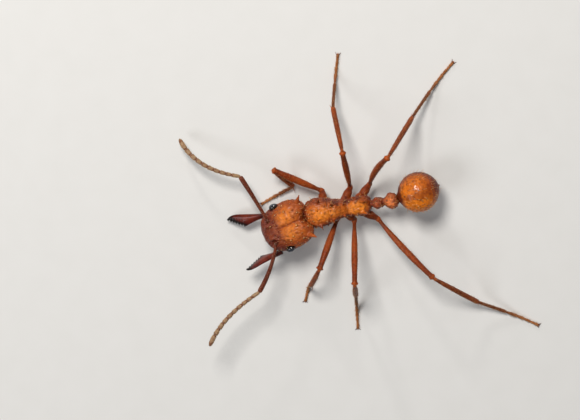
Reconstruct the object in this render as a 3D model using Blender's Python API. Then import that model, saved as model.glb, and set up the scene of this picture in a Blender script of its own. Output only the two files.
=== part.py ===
"""Leafcutter ant worker (Acromyrmex type), a still life-size model standing on six feet.

The head looks along -Y, the ant's left is +X and +Z is up. The origin is on the floor, under the
middle of the whole animal. Every size and place below is in millimetres and every angle in degrees;
meshes are scaled to metres as they are made. Legs and feelers are kept at about half a millimetre
thick, so that they stay solid in the hand; everything else has its real thickness.
"""
import math

import bmesh
import bpy
from mathutils import Matrix, Vector

MM = 0.001                 # metres in a millimetre
GAP = 0.03                 # clearance between neighbouring pieces
LIMB_RADIUS = 0.25         # legs and feelers
LEFT, RIGHT = 1, -1

# Where the body stands. The body frame has its origin in the middle of the trunk.
FOOTPRINT_CENTRE = Vector((0.44, 0.43, 0.0))
TRUNK_HEIGHT = 1.65
TRUNK_ROLL = 8.0           # right side down

# Head, in its own frame: middle of the capsule, forward -Y.
HEAD_AT = Vector((0.42, -2.525, 1.555))
HEAD_YAW, HEAD_PITCH, HEAD_ROLL = 20.0, 12.0, 22.0    # to the left, nose down, right side down
HEAD_WIDTH, HEAD_LENGTH, HEAD_DEPTH = 2.22, 2.34, 1.28
OCCIPUT_NOTCH = 0.34       # depth of the notch between the two rear lobes
EYE_SIZE = Vector((0.30, 0.42, 0.31))
EYE_AT = Vector((1.02, -0.25, 0.19))
MANDIBLE_LENGTH, MANDIBLE_THICKNESS, MANDIBLE_ROOT = 1.55, 0.30, 0.40
TOOTH_HEIGHT = 0.06
MANDIBLE_AT = Vector((0.97, -1.22, -0.12))

# Feelers: a straight scape and a curling funiculus.
SCAPE_LENGTH, FUNICULUS_LENGTH = 2.46, 3.39
SCAPE_AT = Vector((0.47, -0.67, 0.40))

# Rear of the body, in the body frame.
PETIOLE_AT = Vector((0.0, 1.58, -0.20))
POSTPETIOLE_AT = Vector((-0.01, 2.20, -0.14))
GASTER_AT = Vector((-0.23, 3.52, -0.06))
GASTER_YAW = 9.0           # tip turned to the right
GASTER_SIZE = Vector((1.83, 1.95, 1.72))

# Trunk: distance back from the middle, half width, height of the back, height of the underside.
TRUNK_STATIONS = (
    (-1.78, 0.30, 0.14, -0.38),
    (-1.55, 0.54, 0.38, -0.52),
    (-1.20, 0.66, 0.50, -0.58),
    (-0.80, 0.64, 0.54, -0.60),
    (-0.35, 0.50, 0.52, -0.60),
    (0.05, 0.41, 0.34, -0.58),
    (0.30, 0.40, 0.20, -0.56),
    (0.60, 0.44, 0.27, -0.56),
    (0.95, 0.46, 0.24, -0.56),
    (1.20, 0.38, 0.06, -0.52),
    (1.34, 0.24, -0.10, -0.44),
)
PROMESONOTAL_SUTURE, METANOTAL_GROOVE = -0.62, 0.24

# Spines of each part: where the pair stands (left one), which way it points, its length.
TRUNK_SPINES = {
    "pronotum": (((0.55, -1.02, 0.36), (0.72, 0.12, 0.60), 0.26),
                 ((0.20, -1.10, 0.46), (0.15, -0.10, 1.00), 0.16)),
    "mesonotum": (((0.34, -0.42, 0.42), (0.35, -0.15, 1.00), 0.34),
                  ((0.26, 0.06, 0.22), (0.25, 0.30, 1.00), 0.24)),
    "propodeum": (((0.26, 0.90, 0.18), (0.22, 0.75, 0.80), 0.46),),
}
HEAD_SPINES = (((0.76, 0.86, 0.22), (0.45, 0.75, 0.45), 0.56),
               ((0.86, 0.24, 0.24), (0.75, 0.40, 0.60), 0.24))

# Legs. Lengths of femur, tibia and tarsus of each pair, and the coxa's root on the trunk.
LEG_PAIRS = {
    "front": ((2.55, 1.69, 1.70), (0.40, -0.80, -0.42)),
    "middle": ((3.23, 2.38, 2.40), (0.36, 0.20, -0.42)),
    "hind": ((3.75, 3.13, 3.05), (0.38, 0.95, -0.40)),
}
# Each leg: trochanter in the body frame, then sweep (from straight sideways, + to the rear) and
# rise of the femur, sweep of the tibia and height of its far end, and sweep of the tarsus.
LEGS = {
    ("front", RIGHT): ((-0.80, -0.79, -0.79), (-53.4, 9.4), (148.6, 0.30), -114.0),
    ("front", LEFT): ((0.57, -0.32, -0.81), (-32.0, 33.6), (-26.7, 1.18), -21.5),
    ("middle", RIGHT): ((-0.77, 0.49, -0.71), (0.5, 40.3), (-6.3, 1.13), 15.3),
    ("middle", LEFT): ((0.71, 0.44, -0.69), (-9.2, 43.3), (-6.1, 1.24), -6.3),
    ("hind", RIGHT): ((-0.79, 1.36, -0.65), (28.4, 49.6), (59.3, 0.99), 47.9),
    ("hind", LEFT): ((0.79, 1.46, -0.66), (36.3, 16.9), (40.5, 0.62), 55.1),
}
# Tarsus: share of its length in each of five tarsomeres, and how much of the first one's slope each keeps.
TARSOMERES = ((0.48, 1.0), (0.17, 0.62), (0.12, 0.25), (0.10, 0.0), (0.13, 0.0))
FOOT_CENTRE = 0.21         # height of the last tarsomere's middle, so that it stands on a narrow flat

COLOURS = {
    "head": (0.42, 0.115, 0.018), "mandible": (0.11, 0.018, 0.008), "eye": (0.022, 0.026, 0.034),
    "scape": (0.20, 0.045, 0.014), "funiculus": (0.36, 0.20, 0.085), "trunk": (0.56, 0.17, 0.022),
    "waist": (0.40, 0.085, 0.020), "gaster": (0.60, 0.19, 0.014), "leg": (0.30, 0.062, 0.014),
    "tarsus": (0.48, 0.17, 0.05),
}


# ---------------------------------------------------------------- frames and paths

def turn(degrees, axis):
    return Matrix.Rotation(math.radians(degrees), 4, axis)


BODY = Matrix.Translation(Vector((0, 0, TRUNK_HEIGHT)) - FOOTPRINT_CENTRE) @ turn(-TRUNK_ROLL, "Y")
HEAD = (Matrix.Translation(HEAD_AT - FOOTPRINT_CENTRE) @ turn(HEAD_YAW, "Z")
        @ turn(HEAD_PITCH, "X") @ turn(-HEAD_ROLL, "Y"))


def mirrored(point, side):
    """A point given for the left side, on the given side."""
    return Vector((point[0] * side, point[1], point[2]))


def heading(degrees, rise):
    """Direction at an angle from straight ahead (+ to the ant's left), rising by the second angle."""
    a, r = math.radians(degrees), math.radians(rise)
    return Vector((math.sin(a) * math.cos(r), -math.cos(a) * math.cos(r), math.sin(r)))


def sideways(side, sweep, rise):
    """Direction out to one side, swept to the rear and rising."""
    a, r = math.radians(sweep), math.radians(rise)
    return Vector((side * math.cos(a) * math.cos(r), math.sin(a) * math.cos(r), math.sin(r)))


def leg_joints(pair, side):
    """Trochanter, knee, ankle, and the tarsus's joints down to the claw, in the model's frame."""
    (femur, tibia, tarsus), _ = LEG_PAIRS[pair]
    trochanter, (femur_sweep, femur_rise), (tibia_sweep, ankle_height), tarsus_sweep = LEGS[pair, side]
    hip = BODY @ Vector(trochanter)
    knee = hip + femur * sideways(side, femur_sweep, femur_rise)
    drop = math.degrees(math.asin((ankle_height - knee.z) / tibia))
    ankle = knee + tibia * sideways(side, tibia_sweep, drop)
    # The first tarsomere slopes just enough for the last ones to lie along the floor.
    low, high = 0.0, 89.0
    for _ in range(40):
        slope = (low + high) / 2
        fall = sum(tarsus * share * math.sin(math.radians(slope * keep)) for share, keep in TARSOMERES)
        low, high = (slope, high) if fall < ankle_height - FOOT_CENTRE else (low, slope)
    toes = [ankle]
    for share, keep in TARSOMERES:
        toes.append(toes[-1] + tarsus * share * sideways(side, tarsus_sweep, -slope * keep))
    return hip, knee, ankle, toes


def feeler_joints(side):
    """Root, elbow and the funiculus's line, in the model's frame."""
    scape_way, funiculus_way, droop = {RIGHT: ((-68.0, -6.6), (-20.7, -67.5), (3.9, -39.8)),
                                       LEFT: ((62.2, 8.0), (23.9, 59.0), (8.6, 7.5))}[side]
    root = HEAD @ mirrored(SCAPE_AT, side)
    elbow = root + SCAPE_LENGTH * heading(*scape_way)
    line, steps = [elbow], 10
    for i in range(steps):
        t = ((i + 0.5) / steps) ** 1.5
        way = heading(funiculus_way[0] + t * (funiculus_way[1] - funiculus_way[0]),
                      droop[0] + t * (droop[1] - droop[0]))
        line.append(line[-1] + FUNICULUS_LENGTH / steps * way)
    return root, elbow, line


# ---------------------------------------------------------------- objects

def collection(name):
    made = bpy.data.collections.new(name)
    bpy.context.scene.collection.children.link(made)
    return made


def material(kind, roughness=0.35):
    name = kind + "_cuticle"
    made = bpy.data.materials.get(name)
    if made is None:
        made = bpy.data.materials.new(name)
        made.use_nodes = True
        shader = made.node_tree.nodes["Principled BSDF"]
        shader.inputs["Base Color"].default_value = (*COLOURS[kind], 1.0)
        shader.inputs["Roughness"].default_value = roughness
        shader.inputs["Metallic"].default_value = 0.0
    return made


def solid(name, bm, kind, into):
    """Turns a bmesh in millimetres into an object in metres."""
    bmesh.ops.scale(bm, vec=(MM, MM, MM), verts=bm.verts)
    bmesh.ops.recalc_face_normals(bm, faces=bm.faces)
    mesh = bpy.data.meshes.new(name)
    bm.to_mesh(mesh)
    bm.free()
    mesh.shade_smooth()
    mesh.set_sharp_from_angle(angle=math.radians(40))
    obj = bpy.data.objects.new(name, mesh)
    into.objects.link(obj)
    if kind:
        mesh.materials.append(material(kind))
    else:
        obj.hide_render, obj.display_type = True, "WIRE"
    return obj


def cut_flat(bm, point, normal):
    """Takes off what lies beyond a plane, and closes the cut."""
    cut = bmesh.ops.bisect_plane(bm, geom=bm.verts[:] + bm.edges[:] + bm.faces[:], dist=1e-5,
                                 plane_co=point, plane_no=normal, clear_outer=True)
    rim = [e for e in cut["geom_cut"] if isinstance(e, bmesh.types.BMEdge)]
    if rim:
        bmesh.ops.contextual_create(bm, geom=rim)


def boolean(obj, other, operation):
    step = obj.modifiers.new(f"{operation.lower()} {other.name}", "BOOLEAN")
    step.operation, step.solver, step.object = operation, "EXACT", other


def clear_of(obj, *neighbours):
    """Cuts a piece back from its neighbours, each grown by the gap."""
    for other in neighbours:
        name = f"clearance_{other.name}"
        cutter = bpy.data.objects.get(name)
        if cutter is None:
            bm = bmesh.new()
            bm.from_mesh(other.data)
            bmesh.ops.scale(bm, vec=(1 / MM,) * 3, verts=bm.verts)
            bm.normal_update()
            for v in bm.verts:
                v.co += v.normal * GAP * 1.2
            cutter = solid(name, bm, None, CUTTERS)
        boolean(obj, cutter, "DIFFERENCE")


# ---------------------------------------------------------------- shapes

def spow(value, power):
    return math.copysign(abs(value) ** power, value)


def smooth_row(rows, x):
    """Row of a station table at x, along smooth curves through the stations."""
    i = max(0, min(len(rows) - 2, sum(r[0] <= x for r in rows) - 1))
    a, b = rows[i], rows[i + 1]
    before, after = rows[max(i - 1, 0)], rows[min(i + 2, len(rows) - 1)]
    t = (x - a[0]) / (b[0] - a[0])
    out = []
    for k in range(1, len(a)):
        slope_a = (b[k] - before[k]) / (b[0] - before[0]) * (b[0] - a[0])
        slope_b = (after[k] - a[k]) / (after[0] - a[0]) * (b[0] - a[0])
        out.append((2 * t**3 - 3 * t**2 + 1) * a[k] + (t**3 - 2 * t**2 + t) * slope_a
                   + (-2 * t**3 + 3 * t**2) * b[k] + (t**3 - t**2) * slope_b)
    return out


def loft(rings):
    """Closed mesh through rings of points, each end closed by one flat face."""
    bm = bmesh.new()
    loops = [[bm.verts.new(p) for p in ring] for ring in rings]
    for a, b in zip(loops, loops[1:]):
        for i in range(len(a)):
            j = (i + 1) % len(a)
            bm.faces.new((a[i], a[j], b[j], b[i]))
    bm.faces.new(reversed(loops[0]))
    bm.faces.new(loops[-1])
    return bm


def ball(shape, segments, rings):
    """Sphere with its poles ahead and behind, each of its points carried through shape(point)."""
    bm = bmesh.new()
    bmesh.ops.create_uvsphere(bm, u_segments=segments, v_segments=rings, radius=1.0,
                              matrix=turn(90, "X"))
    for v in bm.verts:
        v.co = shape(v.co)
    return bm


def tube(line, radii, sides=2):
    """Mesh of a curve's bevel along a line, with a radius at each point."""
    curve = bpy.data.curves.new("line", "CURVE")
    curve.dimensions, curve.use_fill_caps = "3D", True
    curve.bevel_depth, curve.bevel_resolution = 1.0, sides
    spline = curve.splines.new("POLY")
    spline.points.add(len(line) - 1)
    for point, place, radius in zip(spline.points, line, radii):
        point.co, point.radius = (*place, 1.0), radius
    carrier = bpy.data.objects.new("line", curve)
    CUTTERS.objects.link(carrier)
    mesh = bpy.data.meshes.new_from_object(carrier.evaluated_get(bpy.context.evaluated_depsgraph_get()))
    bm = bmesh.new()
    bm.from_mesh(mesh)
    bmesh.ops.remove_doubles(bm, verts=bm.verts, dist=1e-4)
    bpy.data.objects.remove(carrier)
    bpy.data.curves.remove(curve)
    bpy.data.meshes.remove(mesh)
    return bm


def segment(start, end, radius, before=None, after=None):
    """Limb segment with blunt ends, mitred against the segments before and after it."""
    way = (end - start).normalized()
    reach = radius * 0.9
    line = [start - way * reach, start - way * reach * 0.5, start, (start + end) / 2,
            end, end + way * reach * 0.5, end + way * reach]
    bm = tube(line, [radius * k for k in (0.55, 0.85, 1.0, 1.0, 1.0, 0.85, 0.55)])
    if before is not None:
        mitre = ((start - before).normalized() + way).normalized()
        cut_flat(bm, start + mitre * GAP / 2, -mitre)
    if after is not None:
        mitre = (way + (after - end).normalized()).normalized()
        cut_flat(bm, end - mitre * GAP / 2, mitre)
    return bm


def spines(name, rows, frame, thickness=0.17):
    """Both sides' spines of one part, as cones sunk a little into it."""
    bm = bmesh.new()
    for root, way, length in rows:
        for side in (LEFT, RIGHT):
            axis = mirrored(way, side).normalized()
            sunk = 0.12
            centre = mirrored(root, side) + axis * (length / 2 - sunk / 2)
            place = frame @ Matrix.Translation(centre) @ axis.to_track_quat("Z", "Y").to_matrix().to_4x4()
            bmesh.ops.create_cone(bm, cap_ends=True, segments=6, radius1=thickness / 2,
                                  radius2=0.02, depth=length + sunk, matrix=place)
    return solid(name, bm, None, CUTTERS)


# ---------------------------------------------------------------- the ant

def head_point(p):
    """From a unit sphere to the head capsule: boxy in front, two lobes behind, furrowed on top."""
    along, across = spow(p.y, 0.72), (1 - min(1.0, p.y**2)) ** (0.31 if p.y > 0 else 0.25)
    rim = math.hypot(p.x, p.z) or 1.0
    x = across * spow(p.x / rim, 0.86) * HEAD_WIDTH / 2
    z = across * spow(p.z / rim, 0.86) * HEAD_DEPTH / 2
    x *= 1 - 0.13 * max(0.0, -along) ** 2 - 0.05 * max(0.0, along) ** 2
    z *= 1 - 0.16 * max(0.0, -along) - 0.12 * max(0.0, along) ** 2
    y = along * HEAD_LENGTH / 2
    # Drawn in above each eye.
    x *= 1 - 0.12 * math.exp(-((y + 0.32) / 0.36) ** 2) * min(1.0, max(0.0, (z + 0.05) / 0.30))
    y -= OCCIPUT_NOTCH * math.exp(-(x / 0.36) ** 2) * max(0.0, along) ** 3
    z -= 0.05 * math.exp(-(x / 0.16) ** 2) * (z > 0)
    return Vector((x, y, z))


def make_head():
    bm = ball(head_point, 24, 18)
    bm.transform(HEAD)
    head = solid("head", bm, "head", ANT)
    boolean(head, spines("head_spines", HEAD_SPINES, HEAD), "UNION")
    for side, word in ((LEFT, "left"), (RIGHT, "right")):
        make_eye(side, word, head)
        make_mandible(side, word, head)
        make_feeler(side, word, head)
    return head


def make_eye(side, word, head):
    bm = bmesh.new()
    place = HEAD @ Matrix.Translation(mirrored(EYE_AT, side)) @ Matrix.Diagonal((*(EYE_SIZE / 2), 1))
    bmesh.ops.create_uvsphere(bm, u_segments=12, v_segments=8, radius=1.0, matrix=place)
    clear_of(solid("eye_" + word, bm, "eye", ANT), head)


def make_mandible(side, word, head):
    """Triangular blade, its outer edge curving in to the tip, with a row of teeth on the inner edge."""
    opening, blade_roll = {RIGHT: (14.0, -8.0), LEFT: (1.0, -50.0)}[side]
    length, teeth = MANDIBLE_LENGTH, 8
    outer = [Vector((0.08 + 0.20 * t - 0.28 * t**7, -length * t)) for t in (i / 8 for i in range(9))]
    inner_angle = Vector((-0.40, -length * 0.43))
    tip, root = outer[-1], Vector((-0.14, MANDIBLE_ROOT))
    inner = []
    for i in range(teeth):
        a, b = tip.lerp(inner_angle, i / teeth), tip.lerp(inner_angle, (i + 0.5) / teeth)
        along = (inner_angle - tip).normalized()
        inner += [a + Vector((-along.y, along.x)) * TOOTH_HEIGHT * (i > 0), b]
    outline = [Vector((0.10, MANDIBLE_ROOT))] + outer + inner + [inner_angle, root]
    bm = bmesh.new()
    face = bm.faces.new([bm.verts.new((p.x, p.y, -MANDIBLE_THICKNESS / 2)) for p in outline])
    raised = bmesh.ops.extrude_face_region(bm, geom=[face])
    bmesh.ops.translate(bm, vec=(0, 0, MANDIBLE_THICKNESS),
                        verts=[v for v in raised["geom"] if isinstance(v, bmesh.types.BMVert)])
    # The blade thins from its thick root to the tip.
    for v in bm.verts:
        v.co.z *= 1.15 - 0.62 * max(0.0, -v.co.y) / length
    flip = Matrix.Diagonal((side, 1, 1, 1))
    place = (HEAD @ Matrix.Translation(mirrored(MANDIBLE_AT, side)) @ turn(side * opening, "Z")
             @ turn(side * blade_roll, "Y") @ flip)
    bm.transform(place)
    clear_of(solid("mandible_" + word, bm, "mandible", ANT), head)


def make_feeler(side, word, head):
    root, elbow, line = feeler_joints(side)
    scape = solid("scape_" + word, segment(root, elbow, LIMB_RADIUS, after=line[1]), "scape", ANT)
    clear_of(scape, head)
    way = (line[1] - line[0]).normalized()
    bm = tube([elbow - way * 0.15] + line[1:] + [line[-1] + (line[-1] - line[-2]).normalized() * 0.12],
              [LIMB_RADIUS * k for k in [0.85] + [1.0] * (len(line) - 1) + [0.55]])
    mitre = ((elbow - root).normalized() + way).normalized()
    cut_flat(bm, elbow + mitre * GAP / 2, -mitre)
    solid("funiculus_" + word, bm, "funiculus", ANT)


def trunk_ring(y, sides=20):
    """Cross-section of the trunk: rounded above, flatter below."""
    half, top, bottom = smooth_row(TRUNK_STATIONS, y)
    middle = (top + bottom) / 2
    ring = []
    for i in range(sides):
        a = 2 * math.pi * i / sides
        power = 0.9 if math.sin(a) > 0 else 0.75
        ring.append(BODY @ Vector((half * spow(math.cos(a), power), y,
                                   middle + (top - middle) * spow(math.sin(a), power))))
    return ring


def make_trunk(head):
    first, last = TRUNK_STATIONS[0][0], TRUNK_STATIONS[-1][0]
    spans = {"pronotum": (first, PROMESONOTAL_SUTURE - GAP / 2, 8),
             "mesonotum": (PROMESONOTAL_SUTURE + GAP / 2, METANOTAL_GROOVE - GAP / 2, 6),
             "propodeum": (METANOTAL_GROOVE + GAP / 2, last, 8)}
    parts = {}
    for name, (start, end, steps) in spans.items():
        bm = loft([trunk_ring(start + (end - start) * i / steps) for i in range(steps + 1)])
        parts[name] = solid(name, bm, "trunk", ANT)
        boolean(parts[name], spines(name + "_spines", TRUNK_SPINES[name], BODY), "UNION")
    clear_of(parts["pronotum"], head)
    return parts


def make_rear(propodeum):
    """Waist of two nodes, and the gaster."""
    def node(at, size, nose):
        """Knob with a short neck to the front."""
        def shape(p):
            t = min(1.0, max(0.0, (p.y + 0.80) / 0.75))
            full = (nose + (1 - nose) * t * t * (3 - 2 * t)) * math.sqrt(1 + p.y**2)
            return at + Vector((p.x * size[0] / 2 * full, p.y * size[1] / 2, p.z * size[2] / 2 * full))
        return shape

    petiole = ball(node(PETIOLE_AT, (0.48, 0.66, 0.56), 0.60), 12, 8)
    cut_flat(petiole, PETIOLE_AT + Vector((0, 0.29, 0)), Vector((0, 1, 0)))
    petiole.transform(BODY)
    petiole = solid("petiole", petiole, "waist", ANT)
    clear_of(petiole, propodeum)

    postpetiole = ball(node(POSTPETIOLE_AT, (0.72, 0.70, 0.66), 0.60), 14, 10)
    cut_flat(postpetiole, PETIOLE_AT + Vector((0, 0.29 + GAP, 0)), Vector((0, -1, 0)))
    cut_flat(postpetiole, POSTPETIOLE_AT + Vector((0, 0.28, 0)), Vector((0, 1, 0)))
    postpetiole.transform(BODY)
    solid("postpetiole", postpetiole, "waist", ANT)

    def gaster_point(p):
        """Nearly round, drawn in a little to the waist and to a blunt point behind."""
        end = max(0.0, p.y) ** 3 * 0.10 + max(0.0, -p.y) ** 3 * 0.10
        x, z = p.x * (1 - end), p.z * (1 - end)
        return Vector((x * GASTER_SIZE.x / 2, p.y * GASTER_SIZE.y / 2,
                       z * GASTER_SIZE.z / 2 * (1.0 if z > 0 else 0.94)))
    gaster = ball(gaster_point, 20, 14)
    gaster.transform(Matrix.Translation(GASTER_AT) @ turn(GASTER_YAW, "Z"))
    cut_flat(gaster, POSTPETIOLE_AT + Vector((0, 0.28 + GAP, 0)), Vector((0, -1, 0)))
    gaster.transform(BODY)
    solid("gaster", gaster, "gaster", ANT)


def make_leg(pair, side, trunk):
    word = f"leg_{pair}_{'left' if side == LEFT else 'right'}"
    hip, knee, ankle, toes = leg_joints(pair, side)
    root = BODY @ mirrored(LEG_PAIRS[pair][1], side)

    coxa = solid(word + "_coxa", segment(root, hip, LIMB_RADIUS * 1.15, after=knee), "leg", ANT)
    clear_of(coxa, *trunk)
    solid(word + "_femur", segment(hip, knee, LIMB_RADIUS, before=root, after=ankle), "leg", ANT)
    solid(word + "_tibia", segment(knee, ankle, LIMB_RADIUS, before=hip, after=toes[1]), "leg", ANT)

    way = (toes[1] - ankle).normalized()
    end = toes[-1] + (toes[-1] - toes[-2]).normalized() * 0.10
    bm = tube([ankle - way * 0.15, ankle + way * 0.3] + toes[1:] + [end],
              [LIMB_RADIUS * k for k in [0.9] + [1.0] * len(toes) + [0.6]])
    mitre = ((ankle - knee).normalized() + way).normalized()
    cut_flat(bm, ankle + mitre * GAP / 2, -mitre)
    cut_flat(bm, Vector((0, 0, 0)), Vector((0, 0, -1)))
    solid(word + "_tarsus", bm, "tarsus", ANT)


for old in list(bpy.data.objects):
    bpy.data.objects.remove(old)
ANT = collection("leafcutter_ant")
CUTTERS = collection("cutters")

head = make_head()
trunk = make_trunk(head)
make_rear(trunk["propodeum"])
for pair, side in LEGS:
    make_leg(pair, side, trunk.values())
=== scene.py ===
"""Looks of the leafcutter ant: sculpted sclerites, toothed jaws, faceted eyes, jointed feelers and
legs, and a coat of short hairs, under soft studio light on a pale floor.

The head looks along -Y, the ant's left is +X and +Z is up. Sizes and places are in millimetres and
angles in degrees; meshes are scaled to metres as they are made. The skeleton's sizes are the CAD's.
"""

import itertools
import math
from typing import NamedTuple

import bmesh
import bpy
import numpy as np
from mathutils import Matrix, Vector


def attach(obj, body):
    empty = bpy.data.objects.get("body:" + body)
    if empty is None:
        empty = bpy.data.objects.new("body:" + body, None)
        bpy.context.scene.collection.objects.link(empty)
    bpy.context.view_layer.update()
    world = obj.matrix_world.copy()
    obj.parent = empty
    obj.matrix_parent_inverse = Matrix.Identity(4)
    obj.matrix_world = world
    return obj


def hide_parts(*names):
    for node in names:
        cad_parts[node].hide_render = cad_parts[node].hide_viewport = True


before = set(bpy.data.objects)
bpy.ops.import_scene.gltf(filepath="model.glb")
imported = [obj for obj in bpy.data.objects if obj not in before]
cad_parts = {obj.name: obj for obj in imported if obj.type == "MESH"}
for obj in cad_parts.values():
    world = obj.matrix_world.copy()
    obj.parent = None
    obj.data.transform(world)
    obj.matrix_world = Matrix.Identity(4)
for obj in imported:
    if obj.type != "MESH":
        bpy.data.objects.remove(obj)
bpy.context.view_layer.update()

MM = 0.001  # metres in a millimetre
LEFT, RIGHT = 1, -1
SIDE_NAMES = {LEFT: "left", RIGHT: "right"}
RNG = np.random.default_rng(20250)  # all random draws come from it, always in the same order
INSET = 0.985  # skins lie a little inside the solids
VOXEL = 0.015

# ---------------- skeleton, as in the CAD

FOOTPRINT_CENTRE = Vector((0.44, 0.43, 0.0))
TRUNK_HEIGHT, TRUNK_ROLL = 1.65, 8.0
HEAD_AT = Vector((0.42, -2.525, 1.555))
HEAD_YAW, HEAD_PITCH, HEAD_ROLL = 20.0, 12.0, 22.0
HEAD_WIDTH, HEAD_LENGTH, HEAD_DEPTH = 2.22, 2.34, 1.28
OCCIPUT_NOTCH = 0.34
EYE_SIZE, EYE_AT = Vector((0.30, 0.42, 0.31)), Vector((1.02, -0.25, 0.19))
MANDIBLE_LENGTH, MANDIBLE_THICKNESS, MANDIBLE_ROOT = 1.55, 0.30, 0.40
MANDIBLE_AT = Vector((0.97, -1.22, -0.12))
MANDIBLE_TURNS = {RIGHT: (14.0, -8.0), LEFT: (1.0, -50.0)}  # opening, roll of the blade
SCAPE_LENGTH, FUNICULUS_LENGTH = 2.46, 3.39
SCAPE_AT = Vector((0.47, -0.67, 0.40))
# Heading and rise of the scape; the funiculus's heading, then its rise, at its root and its tip.
FEELER_WAYS = {RIGHT: ((-68.0, -6.6), (-20.7, -67.5), (3.9, -39.8)),
               LEFT: ((62.2, 8.0), (23.9, 59.0), (8.6, 7.5))}

PETIOLE_AT = Vector((0.0, 1.58, -0.20))
POSTPETIOLE_AT = Vector((-0.01, 2.20, -0.14))
GASTER_AT, GASTER_YAW = Vector((-0.23, 3.52, -0.06)), 9.0
GASTER_SIZE = Vector((1.83, 1.95, 1.72))

# Distance back from the middle of the trunk, half width, height of the back, of the underside.
TRUNK_STATIONS = (
    (-1.78, 0.30, 0.14, -0.38),
    (-1.55, 0.54, 0.38, -0.52),
    (-1.20, 0.66, 0.50, -0.58),
    (-0.80, 0.64, 0.54, -0.60),
    (-0.35, 0.50, 0.52, -0.60),
    (0.05, 0.41, 0.34, -0.58),
    (0.30, 0.40, 0.20, -0.56),
    (0.60, 0.44, 0.27, -0.56),
    (0.95, 0.46, 0.24, -0.56),
    (1.20, 0.38, 0.06, -0.52),
    (1.34, 0.24, -0.10, -0.44),
)
PROMESONOTAL_SUTURE, METANOTAL_GROOVE = -0.62, 0.24
# Root of the left spine of each pair, the way it points, its length.
TRUNK_SPINES = (
    ((0.55, -1.02, 0.36), (0.72, 0.12, 0.60), 0.26),
    ((0.20, -1.10, 0.46), (0.15, -0.10, 1.00), 0.16),
    ((0.34, -0.42, 0.42), (0.35, -0.15, 1.00), 0.34),
    ((0.26, 0.06, 0.22), (0.25, 0.30, 1.00), 0.24),
    ((0.26, 0.90, 0.18), (0.22, 0.75, 0.80), 0.46),
)
HEAD_SPINES = (((0.76, 0.86, 0.22), (0.45, 0.75, 0.45), 0.56),
               ((0.86, 0.24, 0.24), (0.75, 0.40, 0.60), 0.24))

# Lengths of femur, tibia and tarsus, and the coxa's root on the trunk.
LEG_PAIRS = {
    "front": ((2.55, 1.69, 1.70), (0.40, -0.80, -0.42)),
    "middle": ((3.23, 2.38, 2.40), (0.36, 0.20, -0.42)),
    "hind": ((3.75, 3.13, 3.05), (0.38, 0.95, -0.40)),
}
# Trochanter, sweep and rise of the femur, sweep of the tibia and height of its end, sweep of the tarsus.
LEGS = {
    ("front", RIGHT): ((-0.80, -0.79, -0.79), (-53.4, 9.4), (148.6, 0.30), -114.0),
    ("front", LEFT): ((0.57, -0.32, -0.81), (-32.0, 33.6), (-26.7, 1.18), -21.5),
    ("middle", RIGHT): ((-0.77, 0.49, -0.71), (0.5, 40.3), (-6.3, 1.13), 15.3),
    ("middle", LEFT): ((0.71, 0.44, -0.69), (-9.2, 43.3), (-6.1, 1.24), -6.3),
    ("hind", RIGHT): ((-0.79, 1.36, -0.65), (28.4, 49.6), (59.3, 0.99), 47.9),
    ("hind", LEFT): ((0.79, 1.46, -0.66), (36.3, 16.9), (40.5, 0.62), 55.1),
}
# Share of the tarsus's length, and how much of its slope is left.
TARSOMERES = ((0.48, 1.0), (0.17, 0.62), (0.12, 0.25), (0.10, 0.0), (0.13, 0.0))
FOOT_CENTRE = 0.21  # height of the last tarsomere's middle in the CAD


def turn(degrees, axis):
    return Matrix.Rotation(math.radians(degrees), 4, axis)


BODY = Matrix.Translation(Vector((0, 0, TRUNK_HEIGHT)) - FOOTPRINT_CENTRE) @ turn(-TRUNK_ROLL, "Y")
HEAD = (Matrix.Translation(HEAD_AT - FOOTPRINT_CENTRE) @ turn(HEAD_YAW, "Z")
        @ turn(HEAD_PITCH, "X") @ turn(-HEAD_ROLL, "Y"))
GASTER = BODY @ Matrix.Translation(GASTER_AT) @ turn(GASTER_YAW, "Z")


def mirrored(point, side):
    """A point given for the left side, on the given side."""
    return Vector((point[0] * side, point[1], point[2]))


def heading(degrees, rise):
    """Direction at an angle from straight ahead (+ to the ant's left), rising by the second angle."""
    a, r = math.radians(degrees), math.radians(rise)
    return Vector((math.sin(a) * math.cos(r), -math.cos(a) * math.cos(r), math.sin(r)))


def sideways(side, sweep, rise):
    """Direction out to one side, swept to the rear and rising."""
    a, r = math.radians(sweep), math.radians(rise)
    return Vector((side * math.cos(a) * math.cos(r), math.sin(a) * math.cos(r), math.sin(r)))


def leg_joints(pair, side):
    """Trochanter, knee, ankle, and the tarsus's joints down to the claw, in the model's frame."""
    (femur, tibia, tarsus), _ = LEG_PAIRS[pair]
    trochanter, (femur_sweep, femur_rise), (tibia_sweep, ankle_height), tarsus_sweep = LEGS[pair, side]
    hip = BODY @ Vector(trochanter)
    knee = hip + femur * sideways(side, femur_sweep, femur_rise)
    drop = math.degrees(math.asin((ankle_height - knee.z) / tibia))
    ankle = knee + tibia * sideways(side, tibia_sweep, drop)
    low, high = 0.0, 89.0
    for _ in range(40):
        slope = (low + high) / 2
        fall = sum(tarsus * share * math.sin(math.radians(slope * keep)) for share, keep in TARSOMERES)
        low, high = (slope, high) if fall < ankle_height - FOOT_CENTRE else (low, slope)
    toes = [ankle]
    for share, keep in TARSOMERES:
        toes.append(toes[-1] + tarsus * share * sideways(side, tarsus_sweep, -slope * keep))
    return hip, knee, ankle, toes


def feeler_joints(side):
    """Root, elbow and the funiculus's line, in the model's frame."""
    scape_way, funiculus_way, droop = FEELER_WAYS[side]
    root = HEAD @ mirrored(SCAPE_AT, side)
    elbow = root + SCAPE_LENGTH * heading(*scape_way)
    line, steps = [elbow], 10
    for i in range(steps):
        t = ((i + 0.5) / steps) ** 1.5
        way = heading(funiculus_way[0] + t * (funiculus_way[1] - funiculus_way[0]),
                      droop[0] + t * (droop[1] - droop[0]))
        line.append(line[-1] + FUNICULUS_LENGTH / steps * way)
    return root, elbow, line


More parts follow.
